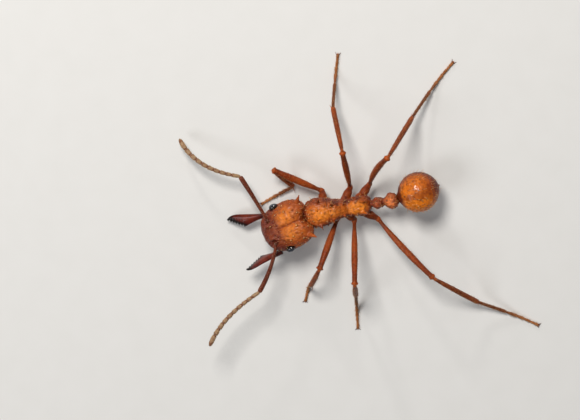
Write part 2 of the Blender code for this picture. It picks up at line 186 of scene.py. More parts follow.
# ---------------- sums on rows of points

def unit(rows):
    return rows / np.maximum(np.linalg.norm(rows, axis=-1, keepdims=True), 1e-12)


def row(vector):
    return np.array(tuple(vector))


def moved(points, matrix):
    m = np.array(matrix)
    return points @ m[:3, :3].T + m[:3, 3]


def spow(value, power):
    return np.sign(value) * np.abs(value) ** power


def hump(value, width):
    """1 at nought, falling away smoothly over the width."""
    return np.exp(-(value / width) ** 2)


def ramp(value, start, end):
    """0 before the start, 1 past the end, smooth between."""
    t = np.clip((value - start) / (end - start), 0.0, 1.0)
    return t * t * (3 - 2 * t)


def smooth(rows, x):
    """Columns of a table at each x, along smooth curves that don't overshoot its rows."""
    rows = np.array(rows, float)
    known, values = rows[:, 0], rows[:, 1:]
    step = np.diff(known)[:, None]
    rise = np.diff(values, axis=0) / step
    slope = np.zeros_like(values)
    product = rise[1:] * rise[:-1]
    slope[1:-1] = np.where(product > 0, 2 * product / np.where(product > 0, rise[1:] + rise[:-1], 1), 0)
    slope[0], slope[-1] = rise[0], rise[-1]
    i = np.clip(np.searchsorted(known, x, side="right") - 1, 0, len(known) - 2)
    t = ((x - known[i]) / step[i, 0])[:, None]
    h = step[i]
    return ((2 * t**3 - 3 * t**2 + 1) * values[i] + (t**3 - 2 * t**2 + t) * h * slope[i]
            + (3 * t**2 - 2 * t**3) * values[i + 1] + (t**3 - t**2) * h * slope[i + 1])


def noise(points, size, seed=0):
    """Smooth noise from -1 to 1 at each point, in cells of the given size."""
    place = points / size
    cell = np.floor(place).astype(np.int64)
    part = place - cell
    part = part * part * (3 - 2 * part)
    total = np.zeros(len(points))
    for corner in itertools.product((0, 1), repeat=3):
        c = cell + corner
        code = c[:, 0] * 73856093 ^ c[:, 1] * 19349663 ^ c[:, 2] * 83492791 ^ (seed * 2654435 + 97)
        code = (code ^ (code >> 13)) * 1274126177 & 0x7FFFFFFF
        code = (code ^ (code >> 15)) & 0xFFFF
        total += np.prod(np.where(corner, part, 1 - part), axis=1) * (code / 32767.5 - 1)
    return total


# ---------------- surfaces: (points, (quads, triangles))

SPINE_TAPER, SPINE_TIP = ((0, 1.5), (0.25, 1.05), (0.55, 0.62), (0.85, 0.26)), 0.012


def as_triangles(faces):
    quads, triangles = faces
    return np.vstack([quads[:, [0, 1, 2]], quads[:, [0, 2, 3]], triangles])


def outward(points, faces):
    """The faces, turned if they enclose their points inside out."""
    t = points[as_triangles(faces)]
    volume = (t[:, 0] * np.cross(t[:, 1], t[:, 2])).sum()
    return faces if volume > 0 else (faces[0][:, ::-1], faces[1][:, ::-1])


def normals_of(points, faces):
    t = as_triangles(faces)
    across = np.cross(points[t[:, 1]] - points[t[:, 0]], points[t[:, 2]] - points[t[:, 0]])
    total = np.zeros_like(points)
    for k in range(3):
        np.add.at(total, t[:, k], across)
    return unit(total)


def loft(rings, first=None, last=None):
    """Closed surface through rings of points, with a point closing each end."""
    count, sides = rings.shape[:2]
    first = rings[0].mean(0) if first is None else first
    last = rings[-1].mean(0) if last is None else last
    points = np.vstack([rings.reshape(-1, 3), first, last])
    row = np.arange(count - 1)[:, None] * sides
    a, b = row + np.arange(sides), row + (np.arange(sides) + 1) % sides
    quads = np.stack([a, b, b + sides, a + sides], -1).reshape(-1, 4)
    i, j = np.arange(sides), (np.arange(sides) + 1) % sides
    top, end = (count - 1) * sides, count * sides
    fans = [np.stack([j, i, np.full(sides, end)], -1),
            np.stack([top + i, top + j, np.full(sides, end + 1)], -1)]
    return points, outward(points, (quads, np.vstack(fans)))


def ball(shape, segments=16, rings=10):
    """Sphere of radius 1 with its poles at -Y and +Y, carried through shape(points)."""
    lean = np.pi * np.arange(1, rings) / rings
    a = 2 * np.pi * np.arange(segments) / segments
    grid = np.stack([np.outer(np.sin(lean), np.cos(a)), np.outer(-np.cos(lean), np.ones(segments)),
                     np.outer(np.sin(lean), np.sin(a))], -1)
    points, faces = loft(grid, np.array((0, -1.0, 0)), np.array((0, 1.0, 0)))
    points = shape(points)
    return points, outward(points, faces)


def lump(at, way, radius, height, segments=12, rings=8):
    """Round boss standing on a surface."""
    place = Matrix.Translation(Vector(at)) @ Vector(way).to_track_quat("Y", "Z").to_matrix().to_4x4()
    return ball(lambda p: moved(p * np.array((radius, height, radius)), place), segments, rings)


def sweep(line, profile, hinge, rings=60, sides=18, flat=1.0, relief=None):
    """Closed skin swept along a line: (points, faces, local, way). The profile's rows are share of
    the length and radius. Local places are as if the line were straight and ran along +Y."""
    line = np.array([tuple(p) for p in line], float)
    run = np.concatenate([[0], np.cumsum(np.linalg.norm(np.diff(line, axis=0), axis=1))])
    share = np.linspace(0, 1, rings)
    if len(line) == 2:
        path = line[0] + share[:, None] * (line[1] - line[0])
    else:
        path = smooth(np.column_stack([run / run[-1], line]), share)
    tangent = unit(np.gradient(path, axis=0))
    hinge = np.array(hinge, float)
    side = unit(hinge - (tangent @ hinge)[:, None] * tangent)
    up = np.cross(side, tangent)
    a = 2 * np.pi * np.arange(sides) / sides
    radius = np.repeat(smooth(profile, share), sides, axis=1)
    if relief is not None:
        radius = radius + relief(*np.meshgrid(share, a, indexing="ij"))
    x, z = radius * np.cos(a), radius * np.sin(a) * flat
    rings_at = path[:, None] + x[..., None] * side[:, None] + z[..., None] * up[:, None]
    points, faces = loft(rings_at, path[0], path[-1])
    y = np.repeat(share[:, None] * run[-1], sides, axis=1)
    local = np.vstack([np.stack([x, y, z], -1).reshape(-1, 3), (0, 0, 0), (0, run[-1], 0)])
    way = np.vstack([np.repeat(tangent, sides, axis=0), tangent[0], tangent[-1]])
    return points, faces, local, way


def thorn(root, way, length, profile, bend):
    """Sharp point whose tip is drawn aside by bend, swept as sweep() does."""
    root, way, bend = Vector(root), Vector(way), Vector(bend)
    line = [root + (way * t + bend * t * t) * length for t in (0, 0.33, 0.66, 1)]
    return sweep(line, profile, way.orthogonal(), 14, 10)


def spine_pairs(rows, scale, thick, sunk, bend=(0, 0, 0), at=(0, 0, 0)):
    """Left and right spines with flared feet, sunk a little into what they grow from. Thick is the
    radius of a short one and what each millimetre adds."""
    shells = []
    for (root, way, length), side in itertools.product(rows, (LEFT, RIGHT)):
        way = mirrored(way, side).normalized()
        foot = Vector(at) + mirrored(root, side) - way * sunk
        profile = [(share, (thick[0] + thick[1] * length) * part) for share, part in SPINE_TAPER]
        shells.append(thorn(foot, way, length * scale + sunk, profile + [(1, SPINE_TIP)],
                            mirrored(bend, side))[:2])
    return shells


def merged(shells):
    """Several surfaces as one."""
    points, quads, triangles, count = [], [], [], 0
    for shell_points, (shell_quads, shell_triangles) in shells:
        points.append(shell_points)
        quads.append(shell_quads + count)
        triangles.append(shell_triangles + count)
        count += len(shell_points)
    return np.vstack(points), (np.vstack(quads), np.vstack(triangles))


def new_object(name, data):
    obj = bpy.data.objects.new(name, data)
    bpy.context.scene.collection.objects.link(obj)
    return obj


def corner_points(mesh):
    """Number of the point at each corner of each face."""
    corners = np.zeros(len(mesh.loops), int)
    mesh.loops.foreach_get("vertex_index", corners)
    return corners


def mesh_of(name, points, faces):
    mesh = bpy.data.meshes.new(name)
    mesh.from_pydata(points.tolist(), [], faces[0].tolist() + faces[1].tolist())
    return mesh


def melted(shells, voxel=VOXEL, rounds=3):
    """Several overlapping surfaces melted into one skin, with soft joins."""
    wax = new_object("wax", mesh_of("wax", *merged(shells)))
    melt = wax.modifiers.new("melt", "REMESH")
    melt.mode, melt.voxel_size = "VOXEL", voxel
    soften = wax.modifiers.new("soften", "SMOOTH")
    soften.factor, soften.iterations = 0.5, rounds
    mesh = bpy.data.meshes.new_from_object(wax.evaluated_get(bpy.context.evaluated_depsgraph_get()))
    points = np.zeros(len(mesh.vertices) * 3)
    mesh.vertices.foreach_get("co", points)
    corners, unmelted = corner_points(mesh), wax.data
    bpy.data.objects.remove(wax)
    for used in (unmelted, mesh):
        bpy.data.meshes.remove(used)
    return points.reshape(-1, 3), (corners.reshape(-1, 4), np.zeros((0, 3), int))


class Skin:
    """A surface in the model's frame, with each point's place in its part's own frame (hairs lie
    along +Y there), that way in the model's frame, and its markings, some of them painted light and shade."""

    def __init__(self, points, faces, local, way, **marks):
        self.points, self.faces, self.local, self.way = points, faces, local, way
        self.normals = normals_of(points, faces)
        self.marks = {name: np.broadcast_to(np.clip(value, 0, 1), len(points)).astype(float)
                      for name, value in {"ochre": 0.0, "dark": 0.0, "pale": 0.0, **marks}.items()}

    @classmethod
    def placed(cls, points, faces, matrix, **marks):
        way = np.tile(np.array(matrix)[:3, 1], (len(points), 1))
        return cls(moved(points, matrix), faces, points, way, **marks)

    @classmethod
    def joined(cls, skins):
        points, faces = merged([(s.points, s.faces) for s in skins])
        marks = {name: np.concatenate([s.marks[name] for s in skins]) for name in skins[0].marks}
        local, way = np.vstack([s.local for s in skins]), np.vstack([s.way for s in skins])
        return cls(points, faces, local, way, **marks)


def piece(name, skin, look, nodes=()):
    """The finished object of a skin, riding on the CAD's one body."""
    mesh = mesh_of(name, skin.points * MM, skin.faces)
    mesh.shade_smooth()
    mesh.attributes.new("local", "FLOAT_VECTOR", "POINT").data.foreach_set("vector", skin.local.ravel())
    for mark, values in skin.marks.items():
        mesh.attributes.new(mark, "FLOAT", "POINT").data.foreach_set("value", values)
    mesh.materials.append(LOOKS[look])
    obj = new_object(name, mesh)
    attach(obj, "root")
    if nodes:
        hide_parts(*nodes)
    return obj


# ---------------- hairs

WAYWARD = 0.35  # how far hairs stray from lying along the part
HAIR_SUNK, FLOOR_GAP = 0.012, 0.004  # roots in the skin; no hair comes nearer the floor
PATCH = 0.003  # side of a hair's patch on the OFBake map


class Hair(NamedTuple):
    """A kind of hair: its angle to the skin is lift, of which it loses the share curl towards the tip."""
    length: float
    radius: float
    lift: float
    curl: float
    steps: int


def blended(skin, picked, weights):
    """What a skin has at rows of its points, weighted: its vectors and its marks."""
    rows = {"at": skin.points, "normal": skin.normals, "way": skin.way, "local": skin.local}
    return ({name: (values[picked] * weights[..., None]).sum(1) for name, values in rows.items()},
            {name: (values[picked] * weights).sum(1) for name, values in skin.marks.items()})


def roots_on(skin, count, denser=None):
    """Hair roots scattered over a skin. Denser says along which axis of the part's own frame they
    thicken, their share before that, and where they begin and end to thicken."""
    t = as_triangles(skin.faces)
    corners = skin.points[t]
    area = np.linalg.norm(np.cross(corners[:, 1] - corners[:, 0], corners[:, 2] - corners[:, 0]), axis=1)
    if denser:
        axis, least, start, end = denser
        area = area * (least + ramp(skin.local[:, axis], start, end))[t].mean(1)
    return blended(skin, t[RNG.choice(len(t), count, p=area / area.sum())], RNG.dirichlet((1, 1, 1), count))


def roots_near(skin, sites):
    """Hair roots at the skin's points nearest to some places in the part's own frame."""
    nearest = np.array([((skin.local - site) ** 2).sum(1).argmin() for site in sites])
    return blended(skin, nearest[:, None], np.ones((len(nearest), 1)))


def grown(roots, hair, reach, band=(0, 1)):
    """Tapered hairs: (points, faces, local, patches, marks). Patches lie at the roots on the part's
    own unwrap, where reach is its span along Y and band its strip of the map (number, out of)."""
    (places, marks), steps = roots, hair.steps
    normal, count = places["normal"], len(places["at"])
    way = places["way"] + WAYWARD * RNG.normal(size=(count, 3))
    way = unit(way - (way * normal).sum(1)[:, None] * normal)
    lift = np.radians(hair.lift) * RNG.uniform(0.75, 1.25, count)
    size = hair.length * RNG.uniform(0.7, 1.3, count)
    side = np.cross(normal, way)
    at = places["at"] - normal * HAIR_SUNK
    rings = []
    for k in range(steps):
        angle = (lift * (1 - hair.curl * k / steps))[:, None]
        axis = normal * np.sin(angle) + way * np.cos(angle)
        up = np.cross(axis, side)
        for a in (0, 2 * np.pi / 3, 4 * np.pi / 3):
            rings.append(at + hair.radius * (1 - k / steps) ** 0.6 * (side * np.cos(a) + up * np.sin(a)))
        at = at + axis * (size / steps)[:, None]
    points = np.stack([*rings, at], axis=1)
    clear = points[..., 2].min(1) > FLOOR_GAP
    points, count, each = points[clear].reshape(-1, 3), clear.sum(), 3 * steps + 1
    first = np.arange(count)[:, None] * each
    quads = [(3 * k + c, 3 * k + (c + 1) % 3, 3 * k + 3 + (c + 1) % 3, 3 * k + 3 + c)
             for k in range(steps - 1) for c in range(3)]
    top = 3 * (steps - 1)
    tips = [(top + c, top + (c + 1) % 3, each - 1) for c in range(3)] + [(2, 1, 0)]
    faces = tuple((first[..., None] + np.array(f)).reshape(-1, len(f[0])) for f in (quads, tips))
    x, y, z = places["local"][clear].T
    u = np.arctan2(z, x) / (2 * np.pi) + 0.5
    v = (band[0] + np.clip((y - reach[0]) / (reach[1] - reach[0]), 0, 1)) / band[1]
    step = np.append(np.repeat(np.arange(steps), 3), steps) / steps - 0.5
    corner = np.append(np.tile((-0.5, 0.0, 0.5), steps), 0.0)
    patches = np.stack([np.clip(u[:, None], PATCH, 1 - PATCH) + PATCH * corner,
                        np.clip(v[:, None], PATCH, 1 - PATCH) + PATCH * step], -1)
    marks = {name: np.repeat(values[clear], each) for name, values in marks.items()}
    marks["tip"] = np.tile(step + 0.5, count)
    local = np.repeat(places["local"][clear], each, axis=0)
    return points, outward(points, faces), local, patches.reshape(-1, 2), marks


def coat(name, tufts, look, slot):
    """One piece of all these hairs, with its OFBake map."""
    shells, local, patches, marks = [tuft[:2] for tuft in tufts], *zip(*(tuft[2:] for tuft in tufts))
    points, faces = merged(shells)
    skin = Skin(points, faces, np.vstack(local), np.zeros_like(points),
                **{mark: np.concatenate([m[mark] for m in marks]) for mark in marks[0]})
    mesh = piece(name, skin, look).data
    patches = np.vstack(patches)[corner_points(mesh)]
    mesh.uv_layers.new(name="OFBake").data.foreach_set("uv", patches.ravel())


def body_coat(part, skin, reach, places, kinds):
    """Coat of a part of the body, from rows of how many hairs, their kind and where they are denser.
    No number means one at each of the places."""
    tufts = [grown(roots_on(skin, count, denser) if count else roots_near(skin, places), hair, reach)
             for count, hair, denser in kinds]
    coat(part + "_setae", tufts, "body_setae", part + "_cuticle")


# ---------------- materials

class Nodes:
    """Short ways to build a node material."""

    def __init__(self, name):
        self.material = bpy.data.materials.new(name)
        self.material.use_nodes = True
        self.tree = self.material.node_tree
        self.shader = self.tree.nodes["Principled BSDF"]

    def add(self, kind, inputs=(), **settings):
        node = self.tree.nodes.new("ShaderNode" + kind)
        for key, value in settings.items():
            setattr(node, key, value)
        for key, value in dict(inputs).items():
            self.put(node.inputs[key], value)
        return node

    def put(self, socket, value):
        if isinstance(value, bpy.types.NodeSocket):
            self.tree.links.new(value, socket)
        else:
            socket.default_value = value

    def mark(self, name, output="Fac"):
        return self.add("Attribute", attribute_name=name).outputs[output]

    def noise(self, place, scale, detail=3.0, stretch=(1, 1, 1)):
        """Noise over the part's own frame, in features to the millimetre."""
        spread = self.add("Mapping", {"Vector": place, "Scale": stretch})
        node = self.add("TexNoise", {"Vector": spread.outputs[0], "Scale": scale, "Detail": detail})
        return node.outputs["Fac"]

    def span(self, value, low, high, to_low=0.0, to_high=1.0):
        return self.add("MapRange", {"Value": value, "From Min": low, "From Max": high,
                                     "To Min": to_low, "To Max": to_high}).outputs["Result"]

    def maths(self, operation, a, b):
        return self.add("Math", {0: a, 1: b}, operation=operation).outputs[0]

    def mix(self, share, a, b):
        node = self.add("Mix", data_type="RGBA")
        self.put(node.inputs[0], share)
        self.put(node.inputs[6], (*a, 1) if isinstance(a, tuple) else a)
        self.put(node.inputs[7], (*b, 1) if isinstance(b, tuple) else b)
        return node.outputs[2]

    def finish(self, colour, roughness, height, depth, strength=0.6, **plain):
        """Links the surface; height is worth depth millimetres."""
        self.put(self.shader.inputs["Base Color"], colour)
        self.put(self.shader.inputs["Roughness"], roughness)
        bump = self.add("Bump", {"Height": height, "Distance": depth * MM, "Strength": strength})
        self.put(self.shader.inputs["Normal"], bump.outputs[0])
        for key, value in plain.items():
            self.shader.inputs[key].default_value = value
        return self.material


def cuticle(name, base, bright, dark, rough=(0.40, 0.60), rugae=0.016, coat=0.10, glow=0.10, gleam=0.25,
            shine=0.18):
    """Chitin: mottled, brighter and darker where marked, with painted glints where marked pale, finely
    wrinkled along the part. Rugae are the height of the wrinkles, and shine the roughness of the coat."""
    n = Nodes(name)
    place = n.mark("local", "Vector")
    blotch = n.noise(place, 3.2, 4.0)
    fleck = n.noise(place, 8.5, 3.0)
    speck = n.noise(place, 24.0, 3.0)
    wrinkle = n.noise(place, 13.0, 4.0, stretch=(1.0, 0.3, 1.0))
    lit = n.maths("ADD", n.mark("ochre"), n.span(blotch, 0.3, 0.7, -0.18, 0.18))
    colour = n.mix(n.span(lit, 0.0, 1.0), base, bright)
    shade = n.maths("ADD", n.mark("dark"), n.span(speck, 0.62, 0.85, 0.0, 0.7))
    colour = n.mix(n.span(shade, 0.0, 1.0), colour, dark)
    colour = n.mix(n.span(fleck, 0.48, 0.66, 0.0, 0.45), colour, dark)
    colour = n.mix(n.span(wrinkle, 0.35, 0.65, 0.0, 0.30), colour, n.mix(0.5, colour, (0, 0, 0)))
    # The pale mark paints glints: pale gold highlights on the crests of the bumps.
    colour = n.mix(n.mark("pale"), colour, (0.80, 0.50, 0.20))
    height = n.maths("ADD", wrinkle, n.maths("MULTIPLY", speck, 0.5))
    return n.finish(colour, n.span(speck, 0.3, 0.7, *rough), height, rugae,
                    **{"Coat Weight": coat, "Coat Roughness": shine, "Subsurface Weight": glow,
                       "Subsurface Radius": (1.0, 0.35, 0.1), "Subsurface Scale": 0.25 * MM,
                       "Specular IOR Level": gleam})


def seta(name, base, tip, skin_tone):
    """Hair: pale, tinted by the markings and painted light and shade of the skin it grows from, paler at the
    tip.
    """
    n = Nodes(name)
    place = n.mark("local", "Vector")
    tone = n.mix(n.mark("ochre"), n.mix(0.5, base, skin_tone), base)
    tone = n.mix(n.maths("MULTIPLY", n.mark("dark"), 0.6), tone, skin_tone)
    colour = n.mix(n.span(n.mark("tip"), 0.0, 1.0), tone, tip)
    fine = n.noise(place, 60.0, 2.0)
    return n.finish(colour, n.span(fine, 0.3, 0.7, 0.3, 0.5), fine, 0.002, 0.3, **{"Specular IOR Level": 0.6})


def eye_material():
    """Dark blue-grey glassy facets."""
    n = Nodes("eye_facets")
    place = n.mark("local", "Vector")
    tone = n.noise(place, 9.0, 3.0)
    colour = n.mix(tone, (0.012, 0.014, 0.018), (0.05, 0.062, 0.085))
    colour = n.mix(n.mark("dark"), colour, (0.01, 0.005, 0.004))
    return n.finish(colour, n.span(tone, 0.3, 0.7, 0.12, 0.25), n.noise(place, 60.0, 2.0), 0.002, 0.3,
                    **{"Coat Weight": 0.6, "Coat Roughness": 0.08})


# Colours of the plain surface, where it is ochre and where it is dark (these two also paint light and shade);
# then how it differs.
CHITINS = {
    "head": ((0.38, 0.074, 0.010), (0.75, 0.205, 0.016), (0.14, 0.020, 0.008), dict()),
    "mandible": ((0.105, 0.007, 0.002), (0.23, 0.030, 0.010), (0.008, 0.003, 0.002),
                 dict(rough=(0.30, 0.42), rugae=0.006, coat=0.35, glow=0.0, gleam=0.15, shine=0.08)),
    "scape": ((0.12, 0.020, 0.007), (0.21, 0.042, 0.014), (0.04, 0.008, 0.004), dict(gleam=0.16)),
    "funiculus": ((0.22, 0.110, 0.052), (0.38, 0.23, 0.12), (0.17, 0.042, 0.014),
                  dict(rough=(0.45, 0.65), coat=0.05)),
    "trunk": ((0.38, 0.066, 0.008), (0.78, 0.222, 0.014), (0.11, 0.015, 0.004), dict()),
    "waist": ((0.25, 0.038, 0.009), (0.80, 0.215, 0.050), (0.08, 0.012, 0.004), dict()),
    "gaster": ((0.38, 0.066, 0.006), (0.84, 0.220, 0.010), (0.12, 0.016, 0.003),
               dict(rough=(0.42, 0.56), rugae=0.014, coat=0.30, gleam=0.15, shine=0.09)),
    "leg": ((0.23, 0.034, 0.005), (0.44, 0.086, 0.012), (0.06, 0.008, 0.003), dict(coat=0.05, gleam=0.14)),
    "tarsus": ((0.18, 0.038, 0.010), (0.40, 0.135, 0.040), (0.09, 0.015, 0.006),
               dict(rough=(0.4, 0.6), coat=0.04, gleam=0.16)),
}
# Colours of the hairs, their tips, and of dark skin under them.
SETAE = {
    "body_setae": ((0.52, 0.22, 0.06), (0.82, 0.52, 0.20), (0.36, 0.09, 0.02)),
    "limb_setae": ((0.38, 0.13, 0.03), (0.62, 0.34, 0.12), (0.22, 0.045, 0.010)),
    "feeler_setae": ((0.42, 0.26, 0.13), (0.70, 0.54, 0.33), (0.22, 0.08, 0.03)),
}
LOOKS = {"eye": eye_material()}
LOOKS |= {name: seta(name, *colours) for name, colours in SETAE.items()}
LOOKS |= {part: cuticle(part + "_chitin", *colours, **finish)
          for part, (*colours, finish) in CHITINS.items()}


# ---------------- head

def far_from_eye(points):
    """Distance from the middle of the nearer eye, 1 on its surface."""
    folded = np.column_stack([np.abs(points[:, 0]), points[:, 1:]])
    return np.linalg.norm((folded - row(EYE_AT)) / (row(EYE_SIZE) / 2), axis=1)


def head_surface(p):
    """From a unit sphere to the head capsule: boxy in front, two lobes behind, sculpted on top."""
    x0, y0, z0 = p.T
    along = spow(y0, 0.72)
    across = (1 - np.minimum(1, y0**2)) ** np.where(y0 > 0, 0.31, 0.25)
    rim = np.maximum(np.hypot(x0, z0), 1e-9)
    x = across * spow(x0 / rim, 0.86) * HEAD_WIDTH / 2
    z = across * spow(z0 / rim, 0.86) * HEAD_DEPTH / 2
    front, rear = np.maximum(0, -along), np.maximum(0, along)
    x *= 1 - 0.13 * front**2 - 0.05 * rear**2
    z *= 1 - 0.16 * front - 0.12 * rear**2
    y = along * HEAD_LENGTH / 2
    y -= OCCIPUT_NOTCH * hump(x, 0.36) * rear**3
    x *= 1 - 0.12 * hump(y + 0.32, 0.36) * np.clip((z + 0.05) / 0.30, 0, 1)
    x, y, z = x * INSET, y * INSET, z * INSET

    out, up, down = np.abs(x), ramp(z, 0.0, 0.25), ramp(-z, 0.0, 0.25)
    lobes = 0.13 * hump(out - 0.30, 0.13) * hump(y + 0.78, 0.20)
    sockets = -0.17 * hump(out - 0.50, 0.11) * hump(y + 0.72, 0.13)
    carina_at = 0.40 + 0.34 * (y + 0.60)
    carinae = 0.050 * hump(out - carina_at, 0.035) * ramp(y, -0.80, -0.55) * ramp(-y, -0.25, 0.05)
    vertex = 0.050 * hump(out - 0.44, 0.30) * hump(y - 0.38, 0.45) - 0.05 * hump(x, 0.17) * ramp(y, -0.7, 0.0)
    furrow = -0.045 * hump(x, 0.035) * ramp(y, -0.50, -0.30) * ramp(-y, -1.0, -0.85)
    clypeus_edge = -0.045 * hump(y + 1.00 - 0.25 * out**2, 0.030) * ramp(-out, -0.72, -0.57)
    clypeus = 0.055 * hump(x, 0.36) * hump(y + 1.09, 0.08)
    z = z + up * (lobes + sockets + carinae + vertex + furrow + clypeus_edge + clypeus)
    z = z - down * (0.03 * hump(out - 0.40, 0.25) * ramp(-y, -0.6, 0.6) - 0.035 * hump(x, 0.05))
    # Mouth between the jaws, and a socket for each jaw.
    mouth = hump(x, 0.50) * hump(z + 0.17, 0.11) * ramp(-y, 0.87, 1.07)
    jaw_socket = hump(out - 0.93, 0.12) * hump(z + 0.12, 0.15) * ramp(-y, 0.82, 1.02)
    lip = 0.10 * hump(x, 0.62) * hump(z - 0.10, 0.16) * ramp(-y, 0.90, 1.12)
    y = y + 0.20 * mouth + 0.05 * jaw_socket - lip
    # A raised orbit with a groove inside it round each eye.
    far = far_from_eye(np.stack([x, y, z], -1))
    x = x + np.sign(x) * (0.020 * hump(far - 1.45, 0.25) - 0.03 * hump(far - 1.10, 0.12))
    return np.stack([x, y, z], -1)


def sites_on(points, allowed, spacing, limit):
    """Numbers of points at random on the left, each clear of those before it by the spacing and
    followed by its rough mirror image on the right."""
    kept = []
    for i in RNG.permutation(np.flatnonzero(allowed & (points[:, 0] > 0))):
        near = points[kept] - points[i] if kept else np.full((1, 3), 9.0)
        if (np.linalg.norm(near, axis=1) > spacing).all():
            kept.append(i)
            twin = points[i] * np.array((-1, 1, 1)) + RNG.normal(0, 0.025, 3)
            kept.append(((points - twin) ** 2).sum(1).argmin())
        if len(kept) >= limit:
            break
    return kept


def gaps(points, places):
    """Distance from each point to the nearest of some places."""
    return np.sqrt(((points[:, None] - places) ** 2).sum(-1).min(1))


def raised(points, faces, allowed, spacing, limit, sizes, radius, height, crest):
    """Raised points scattered over a surface: their places, crests, sizes and lumps. Sizes are from,
    to and the power that spreads them; radius and height are for size 1."""
    normals = normals_of(points, faces)
    sites = sites_on(points, allowed, spacing, limit)
    low, high, power = sizes
    bulk = RNG.uniform(low, high, len(sites)) ** power
    lumps = [lump(points[i], normals[i], radius * b, height * b) for i, b in zip(sites, bulk)]
    return points[sites], (points + normals * crest)[sites], bulk, lumps


# Spacing, greatest number, sizes, radius, height and crest, as raised() takes them.
HEAD_BUMPS = (0.20, 60, (0.45, 1.15, 1), 0.056, 0.062, 0.070)
HEAD_HAIRS = ((0, Hair(0.15, 0.010, 55, 0.8, 5), None),
              (60, Hair(0.12, 0.007, 50, 0.5, 4), (2, 0.25, -0.2, 0.3)),
              (1700, Hair(0.050, 0.0035, 18, 0.4, 3), (2, 0.25, -0.2, 0.3)))


def make_head():
    points, faces = ball(head_surface, 180, 140)
    upper = (points[:, 2] > 0.05) & (points[:, 1] > -0.60) & (np.abs(points[:, 0]) > 0.12)
    places, crests, bulk, lumps = raised(points, faces, upper, *HEAD_BUMPS)
    spines = spine_pairs(HEAD_SPINES, 0.97, (0.04, 0.14), 0.10, (0.05, 0.0, 0.12))
    points, faces = melted([(points, faces), *spines, *lumps])
    x, y, z = points.T
    out = np.abs(x)
    relief = 0.014 * noise(points * np.array((1, 0.45, 1)), 0.065, 1) + 0.014 * noise(points, 0.13, 2)
    points = points + normals_of(points, faces) * (relief * ramp(z, -0.5, 0.1))[:, None]
    ochre = ramp(z, 0.0, 0.3) * 1.15 * hump(out - 0.38, 0.32) * hump(y - 0.22, 0.46)
    dark = 0.85 * ramp(-y, -0.10, 0.58) + 0.3 * ramp(-y, 0.95, 1.10)
    # Painted shade: a dark line along the median furrow.
    dark += 0.6 * hump(x, 0.026) * ramp(z, 0, 0.2) * ramp(y, -0.45, 0.0)
    # Painted shade: the first term darkens the underside of the head.
    dark += 0.35 * ramp(-z, 0.05, 0.5) + 0.4 * ramp(y, 0.80, 1.10) * hump(x, 0.45)
    # Painted shade: the first term darkens the antennal sockets.
    dark += 0.6 * hump(out - 0.5, 0.11) * hump(y + 0.71, 0.13) + 0.15 * ramp(out, 0.80, 1.05)
    off_eye = np.maximum(far_from_eye(points) - 1, 0)
    # Painted shade: the second term darkens a ring in the groove round each eye.
    dark += 0.5 * hump(gaps(points, places), 0.065) + 0.9 * hump(off_eye, 0.16)
    dark += 0.22 * noise(points, 0.16, 14) + 0.12 * noise(points, 0.3, 4)
    # The pale mark paints glints on the crests of the larger bumps.
    skin = Skin.placed(points, faces, HEAD, ochre=ochre, dark=dark,
                       pale=0.9 * hump(gaps(points, crests[bulk > 0.85]), 0.030))
    piece("head_skin", skin, "head", ["head"])
    body_coat("head", skin, (-HEAD_LENGTH / 2, HEAD_LENGTH / 2), places, HEAD_HAIRS)


FACETS, FACET_RADIUS, FACET_HEIGHT = 420, 0.115, 0.022


def make_eye(side):
    """Half-sunk compound eye of small domed facets."""
    spread = math.pi * (3 - math.sqrt(5))
    k = np.arange(FACETS) + 0.5
    polar = np.arccos(1 - 2 * k / FACETS)
    seats = np.column_stack([np.sin(polar) * np.cos(spread * k), np.sin(polar) * np.sin(spread * k),
                             np.cos(polar)])

    def faceted(p):
        away = np.sqrt(np.clip(2 - 2 * (p @ seats.T).max(1), 0, None)) / FACET_RADIUS
        dome = FACET_HEIGHT * np.sqrt(np.clip(1 - away**2, 0, 1))
        return p * (INSET + dome)[:, None] * row(EYE_SIZE) / 2

    points, faces = ball(faceted, 110, 76)
    skin = Skin.placed(points, faces, HEAD @ Matrix.Translation(mirrored(EYE_AT, side)),
                       dark=ramp(-points[:, 0] * side, -0.10, 0.0))
    word = SIDE_NAMES[side]
    piece(f"eye_{word}_facets", skin, "eye", [f"eye_{word}"])


TEETH = 7
HEEL = 0.43  # share of the jaw's length at which the toothed edge begins


def mandible_blade():
    """Right-angled triangular blade: rounded outer side, sharp toothed inner edge, striate."""
    root = -MANDIBLE_ROOT / MANDIBLE_LENGTH
    t = np.concatenate([np.linspace(root, 0.40, 30), np.linspace(0.405, 0.995, 150)])
    past_root, heel_x = np.clip(t, 0, 1), -0.40
    outer = np.where(t > 0, 0.08 + 0.20 * t - 0.28 * np.maximum(t, 0) ** 7, 0.08 + 0.05 * t)
    base_edge = -0.14 + (heel_x + 0.14) * np.clip((t + 0.28) / 0.71, 0, 1) ** 1.6
    along = np.clip((t - HEEL) / (1 - HEEL), 0, 1)
    saw = (0.115 - 0.025 * along) * (1 - np.abs((along * TEETH) % 1 * 2 - 1) ** 0.8)
    chewing = heel_x * (1 - along**1.05) - saw * (along > 0) * ramp(-along, -1.0, -0.93) + 0.045
    inner = np.minimum(np.where(t < HEEL, base_edge, chewing), outer - 0.004)
    a = 2 * np.pi * np.arange(28) / 28
    middle, half = (outer + inner) / 2, (outer - inner) / 2
    x = middle[:, None] + half[:, None] * np.cos(a)
    share = np.clip((x - inner[:, None]) / np.maximum(2 * half[:, None], 1e-6), 0, 1)
    thick = MANDIBLE_THICKNESS * 0.5 * (1.10 - 0.75 * past_root)[:, None]
    profile = share ** 0.55 * np.sqrt(np.clip(1 - share ** 5, 0, 1))
    striae = 1 + 0.05 * np.sin(x * 70 + 3 * t[:, None])
    z = np.sign(np.sin(a)) * thick * profile * striae - 0.08 * past_root[:, None] ** 2 + 0.004 * np.sin(a)
    return loft(np.stack([x, np.repeat(-MANDIBLE_LENGTH * t[:, None], 28, 1), z], -1))


